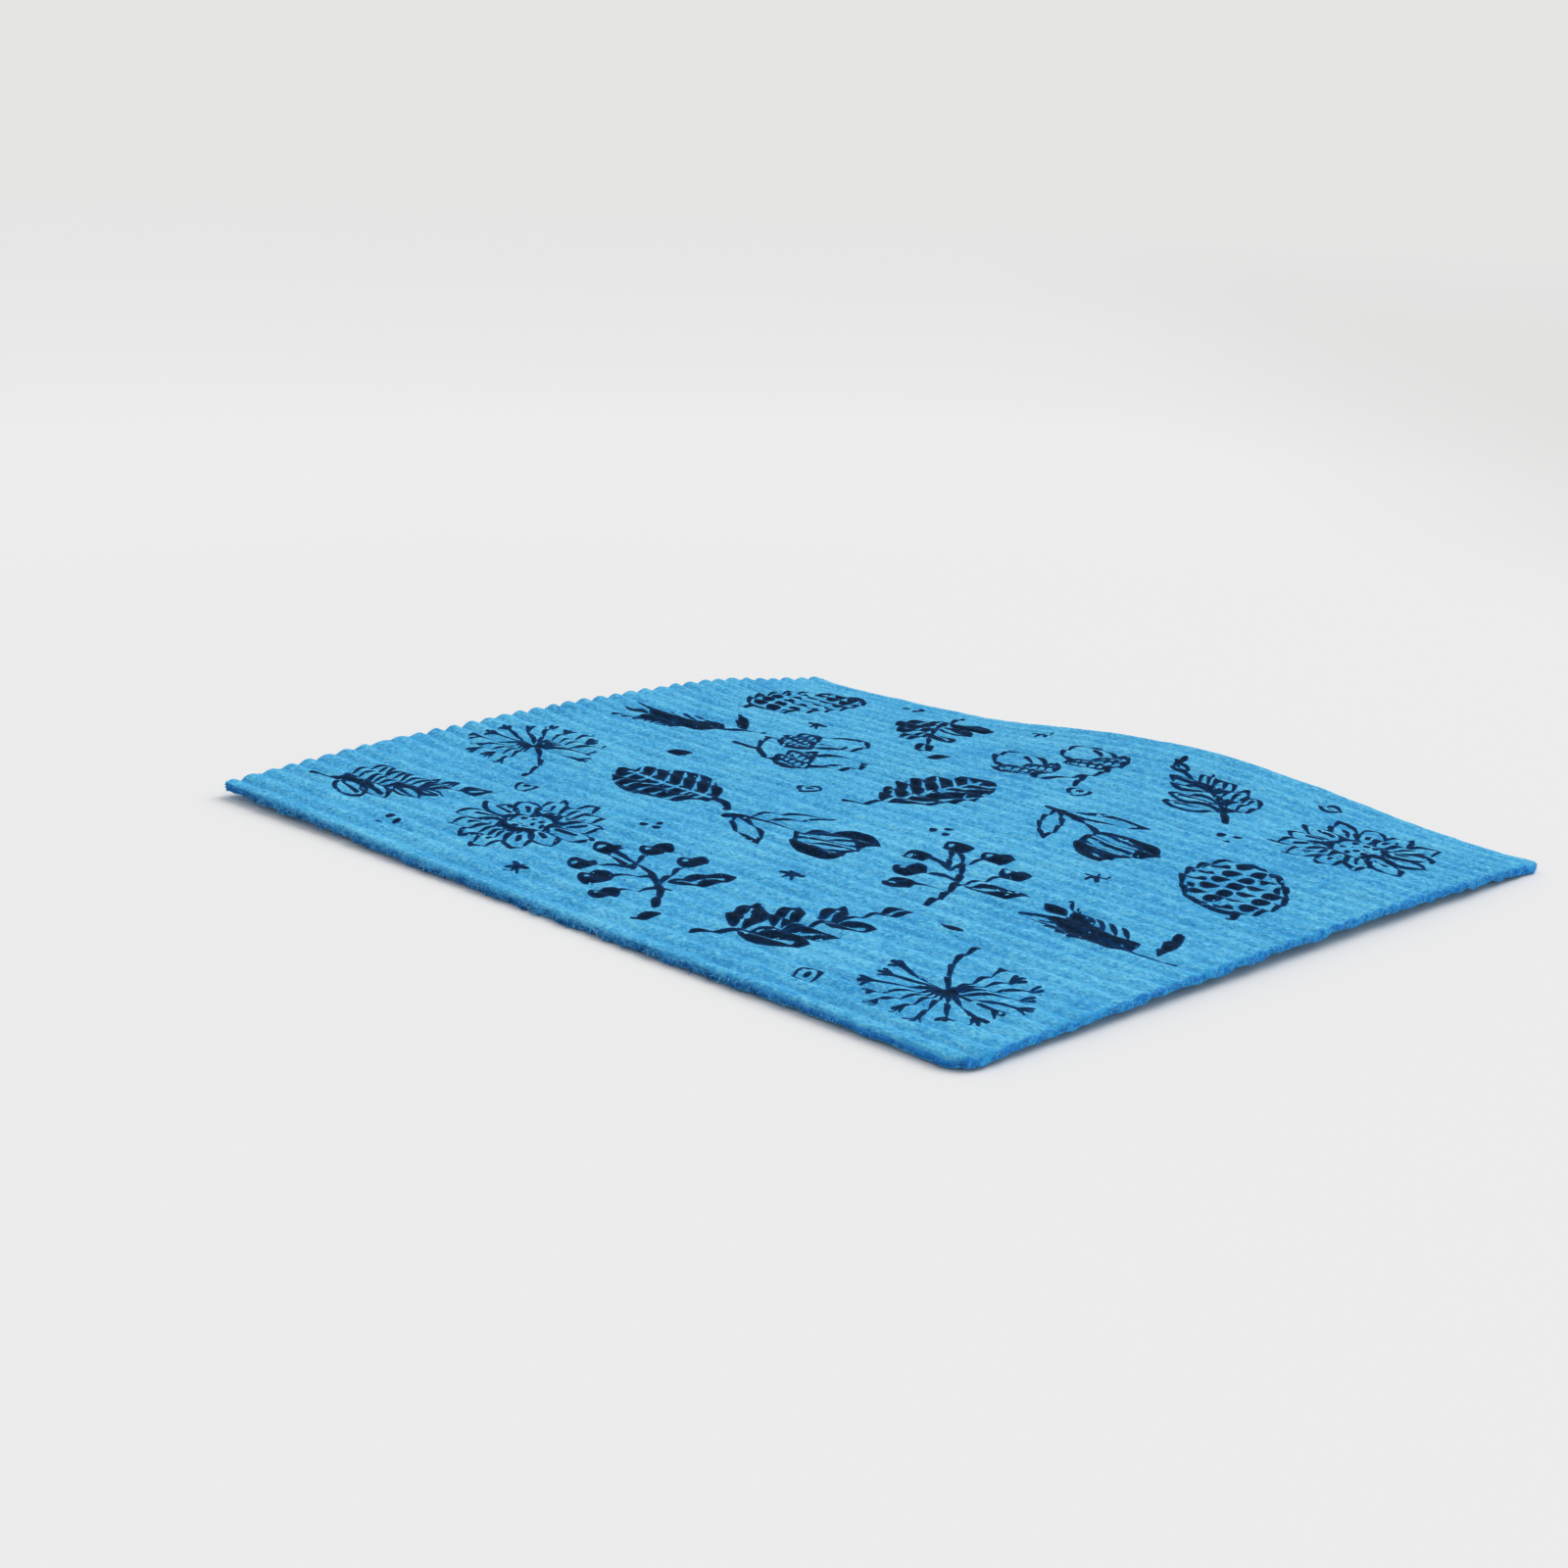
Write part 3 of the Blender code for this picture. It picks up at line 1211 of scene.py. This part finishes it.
def bent_lines(root: Array, heading: Array, aside: Array, long: Array, bow: Array, run: Array) -> Array:
    """Give points along many lines at once: ahead by the run, and aside by its square.

    Args:
        root: Where each line starts.
        heading: The direction that it starts in.
        aside: The direction that it bends to.
        long: Its length.
        bow: How far it bends, as a share of its length.
        run: The steps along all of them, from 0 to 1.

    Returns:
        Points by line, by step and by axis.
    """
    ahead = heading[:, None] * (long[:, None] * run)[..., None]
    return root[:, None] + ahead + aside[:, None] * ((bow * long)[:, None] * run**2)[..., None]


def unit(directions: Array) -> Array:
    """Bring each direction to a length of 1."""
    return directions / np.linalg.norm(directions, axis=1, keepdims=True)


@dataclass
class EdgeFelt:
    """Loose fibres or matted tufts on the cut edges, most of them on the torn one."""

    name: str
    sheet: ClothSheet
    count: int
    shortest: float
    longest: float
    thickness: float
    sunk: float
    seed: int
    steps: int = 4
    bow: float = 0.5
    spread: tuple[float, float, float] = (0.8, 0.8, 0.45)
    even_chance: float = 0.2
    near_calm: float = 0.17
    calm_size: float = 0.35

    def build(self) -> bpy.types.Object:
        """Root each one at a random place of the rim, and bend it by the square of its run.

        Each is thickest near its root, by a sine, and ends in a point.

        Returns:
            All of them as one piece.
        """
        rng = np.random.default_rng(self.seed)
        rim, outward, torn = self.sheet.rim()
        rows, places = rim.shape[:2]
        run_round = np.arange(places) * self.sheet.step_along / 2
        clumps = 1 + Lumps(0.5, 4 * MM, 1 * MM, self.seed + 1).at(run_round, 0 * run_round)
        near = np.clip(-outward[:, 1], 0, 1)
        chance = (self.even_chance - self.near_calm * near + torn) * clumps
        place = rng.choice(places, self.count, p=chance / chance.sum())
        row = rng.integers(0, rows, self.count)
        share = rng.uniform(0, 1, (self.count, 1))
        root = rim[row, place] * (1 - share) + rim[row, (place + 1) % places] * share
        heading = unit(outward[place] + rng.normal(0, 1, (self.count, 3)) * np.array(self.spread))
        aside = unit(np.cross(heading, rng.normal(0, 1, (self.count, 3))))
        largest = self.calm_size + (1 - self.calm_size) * torn[place]
        size = rng.uniform(0, 1, self.count) ** 1.5 * largest
        long = self.shortest + (self.longest - self.shortest) * size

        run = np.linspace(0, 1, self.steps)
        lines = bent_lines(root - self.sunk * outward[place], heading, aside, long, self.bow, run)
        lines[..., 2] = np.maximum(lines[..., 2], 0.6 * self.thickness)
        swell = np.sin(np.pi * (0.28 + 0.67 * run)) * (0.6 + 0.4 * size[:, None])
        deep = np.linspace(0, self.sheet.form.thickness, rows)[:, None]
        patch = Lumps(0.4, 1.8 * MM, 1.0 * MM, self.seed + 2).at(run_round, deep)[row, place]
        dark = np.clip(0.15 + 0.55 * rng.uniform(0, 1, self.count) + patch, 0, 1)
        # Painted shade: fibres lower down the rim, and those on the side facing -Y, are darker
        dark = dark * (0.5 + 0.5 * row / (rows - 1))
        shade = 1 - dark * (0.4 + 0.6 * near[place])
        return fibre_tubes(self.name, lines, self.thickness / 2 * swell, shade)


@dataclass
class FaceFibres:
    """Fibres felted into the face, most of them lying along the ribs, some dark and some pale."""

    sheet: ClothSheet
    count: int = 6500
    shortest: float = 0.6 * MM
    longest: float = 2.2 * MM
    thickness: float = 0.11 * MM
    sunk: float = 0.02 * MM
    clear_edge: float = 2.5 * MM
    steps: int = 5

    def build(self) -> bpy.types.Object:
        """Lay each fibre on the face from a random place, bent by the square of its run.

        Returns:
            The fibres.
        """
        rng = np.random.default_rng(81)
        size = np.array([self.sheet.form.length, self.sheet.form.width])
        start = rng.uniform([self.clear_edge] * 2, size - self.clear_edge, (self.count, 2))
        angle = rng.normal(0, 0.5, self.count) + np.pi * rng.integers(0, 2, self.count)
        bow = rng.normal(0, 0.25, self.count)
        long = rng.uniform(self.shortest, self.longest, self.count)
        run = np.linspace(0, 1, self.steps)
        ahead = np.stack([np.cos(angle), np.sin(angle)], axis=-1)
        aside = np.stack([-ahead[:, 1], ahead[:, 0]], axis=-1)
        flat = bent_lines(start, ahead, aside, long, bow, run)
        height = self.sheet.face_height(flat[..., 0], flat[..., 1]) - self.sunk
        lines = np.concatenate([flat - size / 2, height[..., None]], axis=-1)
        thin = np.broadcast_to(1 - 0.8 * (2 * run - 1) ** 2, lines.shape[:2])
        shade = rng.uniform(0, 1, self.count)
        return fibre_tubes("face_fibres", lines, self.thickness / 2 * thin, shade)


class NodePaint:
    """A node tree, with the few steps that the finishes and the backdrop are painted in."""

    def __init__(self, owner: bpy.types.Material | bpy.types.World) -> None:
        """Take the tree of a new material, which has a Principled shader, or of a new world."""
        owner.use_nodes = True
        self.tree = owner.node_tree

    def feed(self, node: str | bpy.types.Node, links: Links) -> None:
        """Link or set a node's inputs.

        Args:
            node: The node, or the name of one that the tree came with.
            links: Input names or numbers, each with the output or value that feeds it.
        """
        inputs = (self.tree.nodes[node] if isinstance(node, str) else node).inputs
        for key, value in links.items():
            if isinstance(value, Socket):
                self.tree.links.new(value, inputs[key])
            else:
                inputs[key].default_value = value

    def add(self, kind: str, links: Links | None = None, stops: Stops = (), **settings: str) -> Outputs:
        """Add a node with its settings and links.

        Args:
            kind: The node's type.
            links: Input names or numbers, each with the output or value that feeds it.
            stops: A colour ramp's places from 0 to 1, in order, each with its sRGB hex colour.
            settings: The node's own properties.

        Returns:
            The node's outputs.
        """
        node = self.tree.nodes.new(kind)
        for key, value in settings.items():
            setattr(node, key, value)
        for number, (place, colour) in enumerate(stops):
            stop_list = node.color_ramp.elements
            stop = stop_list[number] if number < len(stop_list) else stop_list.new(place)
            stop.position, stop.color = place, linear(colour)
        self.feed(node, links or {})
        return node.outputs

    def mottle(self, place: Socket, along: float, across: float, detail: float) -> Socket:
        """Noise whose lumps have one size along the ribs and another across them.

        Args:
            place: The coordinates that it reads.
            along: A lump's size along X.
            across: A lump's size along Y and Z.
            detail: How many finer layers are added.

        Returns:
            The noise's value.
        """
        scale = (1 / along, 1 / across, 1 / across)
        stretched = self.add("ShaderNodeVectorMath", {0: place, 1: scale}, operation="MULTIPLY")
        links = {"Vector": stretched[0], "Scale": 1.0, "Detail": detail, "Roughness": 0.55}
        return self.add("ShaderNodeTexNoise", links)["Fac"]

    def weighed(self, *parts: tuple[Socket, float]) -> Socket:
        """Add up values, each times its own weight.

        Args:
            parts: The values with their weights.

        Returns:
            The sum.
        """
        total: Socket | float = 0.0
        for value, weight in parts:
            links = {0: value, 1: weight, 2: total}
            total = self.add("ShaderNodeMath", links, operation="MULTIPLY_ADD")[0]
        return total

    def cover(
        self, under: Tint, over: Tint, value: Socket, most: Socket | float, span: Span | None = None
    ) -> Socket:
        """Lay one colour over another by a value.

        Args:
            under: The colour underneath.
            over: The colour on top.
            value: What the cover follows.
            most: How much of the colour on top shows where it covers most.
            span: The values where it starts to show and where it covers most, with a smooth step
                between them. Without them it follows the value itself.

        Returns:
            The colour of both.
        """
        start, end = span or (0.0, 1.0)
        share = self.add(
            "ShaderNodeMapRange",
            {"Value": value, "From Min": start, "From Max": end, "To Max": most},
            interpolation_type="SMOOTHSTEP" if span else "LINEAR",
        )
        return self.add("ShaderNodeMix", {0: share[0], 6: under, 7: over}, data_type="RGBA")[2]

    def seen_directly(self) -> Socket:
        """Give 1 for what the camera, a gloss or a glass sees, and 0 for light that falls on things.

        Returns:
            The sum of the three kinds of ray.
        """
        rays = self.add("ShaderNodeLightPath")
        seen = rays["Is Camera Ray"]
        for ray_kind in ("Is Glossy Ray", "Is Transmission Ray"):
            seen = self.add("ShaderNodeMath", {0: seen, 1: rays[ray_kind]}, operation="ADD")[0]
        return seen


def matt(roughness: float, specular: float) -> Links:
    """Give the shader's inputs for a dull surface with almost no gloss."""
    return {"Roughness": roughness, "Specular IOR Level": specular}


@dataclass(frozen=True)
class DyedCellulose:
    """Cellulose sponge with cotton, dyed right through: matt and felted, so light scatters softly.

    Its colour is mottled in soft blotches, with short dark pores, a painted highlight on the felt's
    raised tops and painted shade in its hollows, painted shade in the valleys, and most saturated
    on the cut edge. The rim has painted shade lower down and on the side facing -Y, and partly where
    it is torn.
    Each noise has a lump's size along the ribs and across them, and its number of finer layers.
    """

    drift: Noise = (15 * MM, 11 * MM, 2)
    blotch: Noise = (3.8 * MM, 2.4 * MM, 2)
    felt: Noise = (1.0 * MM, 0.75 * MM, 2)
    pores: Noise = (1.3 * MM, 0.6 * MM, 1)
    grain: ClassVar[Noise] = (0.5 * MM, 0.42 * MM, 2)
    grain_depth: ClassVar[float] = 0.16 * MM
    felt_depth: float = 0.3 * MM
    pale: str = "#6AC8EC"
    middle: str = "#50B5E3"
    deep: str = "#399DD8"
    # Painted highlight on the felt's raised tops and painted shade in its hollows, where its bumps rise
    # and fall
    raised_highlight: str = "#7ED2F0"
    hollow_shade: str = "#298ACC"
    pore: str = "#2470B6"
    cut: str = "#1072D0"
    cut_pale: str = "#3AACEC"
    # Painted shade on the rim, darker lower down and on the side facing -Y, and partly where it is torn
    torn: str = "#1E5C94"
    torn_pale: str = "#58A8D8"
    roughness: float = 0.92
    specular: float = 0.08

    def make(self) -> bpy.types.Material:
        """Build the material.

        Returns:
            The material, which reads Object coordinates and the shares stored on the mesh.
        """
        material = bpy.data.materials.new("dyed_cellulose")
        paint = NodePaint(material)
        place = paint.add("ShaderNodeTexCoord")["Object"]
        noises = (self.drift, self.blotch, self.felt, self.pores, self.grain)
        drift, blotch, felt, pores, grain = (paint.mottle(place, *noise) for noise in noises)
        low, cut, even, torn = (
            paint.add("ShaderNodeAttribute", attribute_name=name)["Fac"]
            for name in ("valley", "cut", "even", "torn")
        )

        broad = paint.weighed((drift, 0.55), (blotch, 0.45))
        stops = ((0.34, self.deep), (0.49, self.middle), (0.66, self.pale))
        tinted = paint.add("ShaderNodeValToRGB", {"Fac": broad}, stops)["Color"]
        covers = (
            # Painted shade in the hollows of the felt and the grain, and painted highlight on their raised
            # tops, following their bumps
            (self.hollow_shade, felt, 0.75, (0.52, 0.3)),
            (self.raised_highlight, felt, 0.8, (0.5, 0.7)),
            (self.hollow_shade, grain, 0.35, (0.5, 0.3)),
            (self.raised_highlight, grain, 0.4, (0.52, 0.7)),
            # Painted shade in the valleys, where the pores also gather more
            (self.deep, low, 0.42, None),
            (self.pore, paint.weighed((low, -0.07), (pores, 1.0)), 0.6, (0.35, 0.24)),
        )
        for colour, value, most, span in covers:
            tinted = paint.cover(tinted, linear(colour), value, most, span)

        # Painted shade: the rim darkens lower down and on the side facing -Y through the torn share, and
        # more at the calm ends of that side through the even share
        patchy = paint.weighed((felt, 0.6), (blotch, 0.4), (even, 0.14))
        for share, pale, full in ((cut, self.cut_pale, self.cut), (torn, self.torn_pale, self.torn)):
            worn = paint.cover(linear(pale), linear(full), patchy, 1.0, (0.42, 0.56))
            tinted = paint.cover(tinted, worn, share, 0.9)

        links = {"Height": grain, "Distance": self.grain_depth, "Strength": 0.7}
        links = {"Height": felt, "Normal": paint.add("ShaderNodeBump", links)[0]}
        links |= {"Distance": self.felt_depth, "Strength": 0.6}
        rough = paint.add("ShaderNodeBump", links)[0]
        paint.feed("Principled BSDF", {"Base Color": tinted, "Normal": rough})
        paint.feed("Principled BSDF", matt(self.roughness, self.specular))
        return material


@dataclass(frozen=True)
class LooseFibre:
    """Single fibres of the same dyed stuff, each with a tint of its own from navy to pale blue."""

    # On the cut edges the stored shade also holds painted shade: darker lower down the rim and on the side
    # facing -Y
    name: str
    dark: str
    middle: str
    pale: str
    roughness: float = 0.9
    specular: float = 0.1

    def make(self) -> bpy.types.Material:
        """Build the material.

        Returns:
            The material, which reads each fibre's stored shade.
        """
        material = bpy.data.materials.new(self.name)
        paint = NodePaint(material)
        shade = paint.add("ShaderNodeAttribute", attribute_name="shade")["Fac"]
        stops = ((0.1, self.dark), (0.6, self.middle), (1.0, self.pale))
        tint = paint.add("ShaderNodeValToRGB", {"Fac": shade}, stops)["Color"]
        paint.feed("Principled BSDF", {"Base Color": tint, **matt(self.roughness, self.specular)})
        return material


@dataclass(frozen=True)
class SoakedInk:
    """Navy pigment ink pressed into the felt: matt, paler where the layer is thin at its edges."""

    cloudy: Noise = (2.6 * MM, 1.4 * MM, 2)
    thin: str = "#124276"
    full: str = "#0E2540"
    deep: str = "#081C2F"
    fleck: str = "#184C80"
    roughness: float = 0.9
    specular: float = 0.03

    def make(self) -> bpy.types.Material:
        """Build the material.

        Returns:
            The material, which reads Object coordinates and the stored ink depth.
        """
        material = bpy.data.materials.new("soaked_navy_ink")
        paint = NodePaint(material)
        place = paint.add("ShaderNodeTexCoord")["Object"]
        cloudy, grain = paint.mottle(place, *self.cloudy), paint.mottle(place, *DyedCellulose.grain)
        depth = paint.add("ShaderNodeAttribute", attribute_name="ink")["Fac"]
        stops = ((0.0, self.thin), (0.4, self.full), (0.9, self.deep))
        layer = paint.add("ShaderNodeValToRGB", {"Fac": depth}, stops)["Color"]
        layer = paint.cover(layer, linear(self.fleck), grain, 0.5, (0.54, 0.7))
        layer = paint.cover(layer, linear(self.thin), cloudy, 0.4, (0.5, 0.72))
        links = {"Height": grain, "Distance": DyedCellulose.grain_depth, "Strength": 0.8}
        felted = paint.add("ShaderNodeBump", links)[0]
        paint.feed("Principled BSDF", {"Base Color": layer, "Normal": felted})
        paint.feed("Principled BSDF", matt(self.roughness, self.specular))
        return material


@dataclass(frozen=True)
class Studio:
    """A pale round floor, soft even light from above and the right, and the photograph's camera."""

    camera_place: tuple[float, float, float] = (335.6 * MM, -366.2 * MM, 142.35 * MM)
    camera_turn: float = -44.564
    camera_down: float = 14.971
    camera_roll: float = 2.223
    lens: float = 59.058
    floor_reach: float = 3.0
    floor_colour: str = "#EBEBEB"
    distance_tones: tuple[tuple[float, str], ...] = (
        (0.7, "#EDEDED"),
        (0.85, "#EBEBEB"),
        (1.05, "#E9E9E9"),
        (1.7, "#E6E6E6"),
        (3.0, "#E5E5E4"),
    )
    tone_drift: float = 0.35
    # A painted shade that dims the far floor's glow towards its right-hand side
    dim_towards: tuple[float, float, float] = (0.7125, 0.7017, 0.0)
    dim_span: Span = (0.12, 0.42)
    dim_full: float = 1.0
    dim_ends: float = 3.0
    painted_shade_tone: str = "#E1E1E0"
    shown_from: float = 0.3
    shown_to: float = 0.5
    world_strength: float = 0.62
    key_strength: float = 1.6
    key_from: tuple[float, float, float] = (0.1, 0.85, 1.0)
    key_spread: float = 50.0

    def build(self) -> None:
        """Make the floor, the lights, the world and the camera."""
        self.add_floor()
        self.add_world()
        self.add_key()
        self.add_camera()
        bpy.context.scene.view_settings.view_transform = "Standard"

    def add_floor(self) -> None:
        """Make the floor, a level disc: rings at growing reaches, each cut into even steps."""
        reach = self.floor_reach * np.linspace(0.02, 1, 24) ** 1.5
        turn = np.linspace(0, 2 * np.pi, 97)[:-1]
        out, angle = np.meshgrid(reach, turn, indexing="ij")
        points = np.stack([out * np.cos(angle), out * np.sin(angle), 0 * out], axis=-1).reshape(-1, 3)
        number = np.arange(len(points)).reshape(out.shape)
        faces = [*grid_faces(number, closed=True).tolist(), number[0].tolist()]
        floor = mesh_piece("floor", points, faces)
        floor.data.materials.append(self.floor_finish())

    def floor_finish(self) -> bpy.types.Material:
        """Make the floor's material: matt white cloth, lit near the object and toned far from it.

        Returns:
            The material. Far out, where no shadow falls, what the camera, a gloss or a glass sees
            has the tones of the photograph's backdrop, by the distance from the middle, and a painted
            shade that dims it a little towards its right-hand side.
        """
        material = bpy.data.materials.new("pale_floor")
        paint = NodePaint(material)
        smooth = {"interpolation_type": "SMOOTHSTEP"}
        place = paint.add("ShaderNodeTexCoord")["Object"]
        away = paint.add("ShaderNodeVectorMath", {0: place}, operation="LENGTH")["Value"]
        drift = paint.mottle(place, self.tone_drift, self.tone_drift, 1)
        uneven = paint.weighed((away, 1 / self.floor_reach), (drift, 0.2 / self.floor_reach))
        stops = tuple((reach / self.floor_reach, tone) for reach, tone in self.distance_tones)
        tone = paint.add("ShaderNodeValToRGB", {"Fac": uneven}, stops)["Color"]

        links = {0: place, 1: self.dim_towards}
        right = paint.add("ShaderNodeVectorMath", links, operation="DOT_PRODUCT")["Value"]
        links = {"Value": away, "From Min": self.dim_ends, "From Max": self.dim_full}
        near = paint.add("ShaderNodeMapRange", links, **smooth)[0]
        # Painted shade towards the right-hand side of the glow
        tone = paint.cover(tone, linear(self.painted_shade_tone), right, near, self.dim_span)
        glow = paint.add("ShaderNodeEmission", {"Color": tone, "Strength": 1.0})[0]

        links = {"Value": away, "From Min": self.shown_from, "From Max": self.shown_to}
        far = paint.add("ShaderNodeMapRange", links, **smooth)[0]
        links = {0: paint.seen_directly(), 1: far}
        share = paint.add("ShaderNodeMath", links, operation="MULTIPLY")[0]
        lit = paint.tree.nodes["Principled BSDF"]
        paint.feed(lit, {"Base Color": linear(self.floor_colour), **matt(0.9, 0.05)})
        both = paint.add("ShaderNodeMixShader", {0: share, 1: lit.outputs[0], 2: glow})[0]
        paint.feed("Material Output", {"Surface": both})
        return material

    def add_world(self) -> None:
        """Light the room evenly from all sides, and show the backdrop's last tone above the floor."""
        world = bpy.data.worlds.new("studio")
        paint = NodePaint(world)
        lit = paint.tree.nodes["Background"]
        paint.feed(lit, {"Color": (1, 1, 1, 1), "Strength": self.world_strength})
        last_tone = linear(self.distance_tones[-1][1])
        shown = paint.add("ShaderNodeBackground", {"Color": last_tone})[0]
        links = {0: paint.seen_directly(), 1: lit.outputs[0], 2: shown}
        both = paint.add("ShaderNodeMixShader", links)[0]
        paint.feed("World Output", {"Surface": both})
        bpy.context.scene.world = world

    def add_key(self) -> None:
        """Add one broad, even light from above, right of the cloth."""
        lamp = bpy.data.lights.new("key", "SUN")
        lamp.energy = self.key_strength
        lamp.angle = math.radians(self.key_spread)
        key = bpy.data.objects.new("key", lamp)
        turn = (-Vector(self.key_from)).to_track_quat("-Z", "Y").to_matrix().to_4x4()
        key.matrix_world = Matrix.Translation(self.key_from) @ turn
        bpy.context.scene.collection.objects.link(key)

    def add_camera(self) -> None:
        """Place the camera where a fit to the cloth's outline puts it."""
        data = bpy.data.cameras.new("camera")
        data.lens = self.lens
        data.sensor_width = 36
        data.clip_start = 0.01
        data.clip_end = 50
        camera = bpy.data.objects.new("camera", data)
        camera.matrix_world = (
            Matrix.Translation(self.camera_place)
            @ Matrix.Rotation(-math.radians(self.camera_turn), 4, "Z")
            @ Matrix.Rotation(math.radians(90 - self.camera_down), 4, "X")
            @ Matrix.Rotation(math.radians(self.camera_roll), 4, "Z")
        )
        bpy.context.scene.collection.objects.link(camera)
        bpy.context.scene.camera = camera


def dress(piece: bpy.types.Object, material: bpy.types.Material) -> bpy.types.Object:
    """Give a piece its finish and its slot, let it ride on the cloth, and report it.

    Args:
        piece: The new piece.
        material: Its finish.

    Returns:
        The same piece.
    """
    piece.data.materials.append(material)
    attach(piece, "root")
    LOG.info("%s: %d points, %d faces", piece.name, len(piece.data.vertices), len(piece.data.polygons))
    return piece


def main() -> None:
    """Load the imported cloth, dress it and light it."""
    logging.basicConfig(level=logging.INFO, format="%(name)s: %(message)s")
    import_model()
    form = SheetForm()
    sheet = ClothSheet(form)
    cloth = dress(sheet.build(), DyedCellulose().make())
    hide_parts("cloth_sheet")

    solids, lines = GardenPrint(form).draw()
    ink = SoakedInk().make()
    on_cloth = [
        dress(InkFilm("print_solids", sheet, solids).build(), ink),
        dress(InkFilm("print_lines", sheet, lines).build(), ink),
    ]
    # The edge fibres' shades hold painted shade, darker lower down the rim and on the side facing -Y
    torn = LooseFibre("loose_edge_fibre", "#1A4E86", "#2A82C8", "#60B8E8")
    felted = LooseFibre("felted_face_fibre", "#2468AE", "#3F9FDA", "#74C6EC")
    loose = EdgeFelt("cut_fibres", sheet, 4400, 0.35 * MM, 1.2 * MM, 0.13 * MM, 0.2 * MM, seed=71)
    matted = EdgeFelt("edge_tufts", sheet, 3600, 0.35 * MM, 1.0 * MM, 0.5 * MM, 0.18 * MM, seed=73)
    on_edge = torn.make()
    on_cloth += [dress(felt.build(), on_edge) for felt in (loose, matted)]
    on_cloth.append(dress(FaceFibres(sheet).build(), felted.make()))
    Studio().build()


if __name__ == "__main__":
    main()
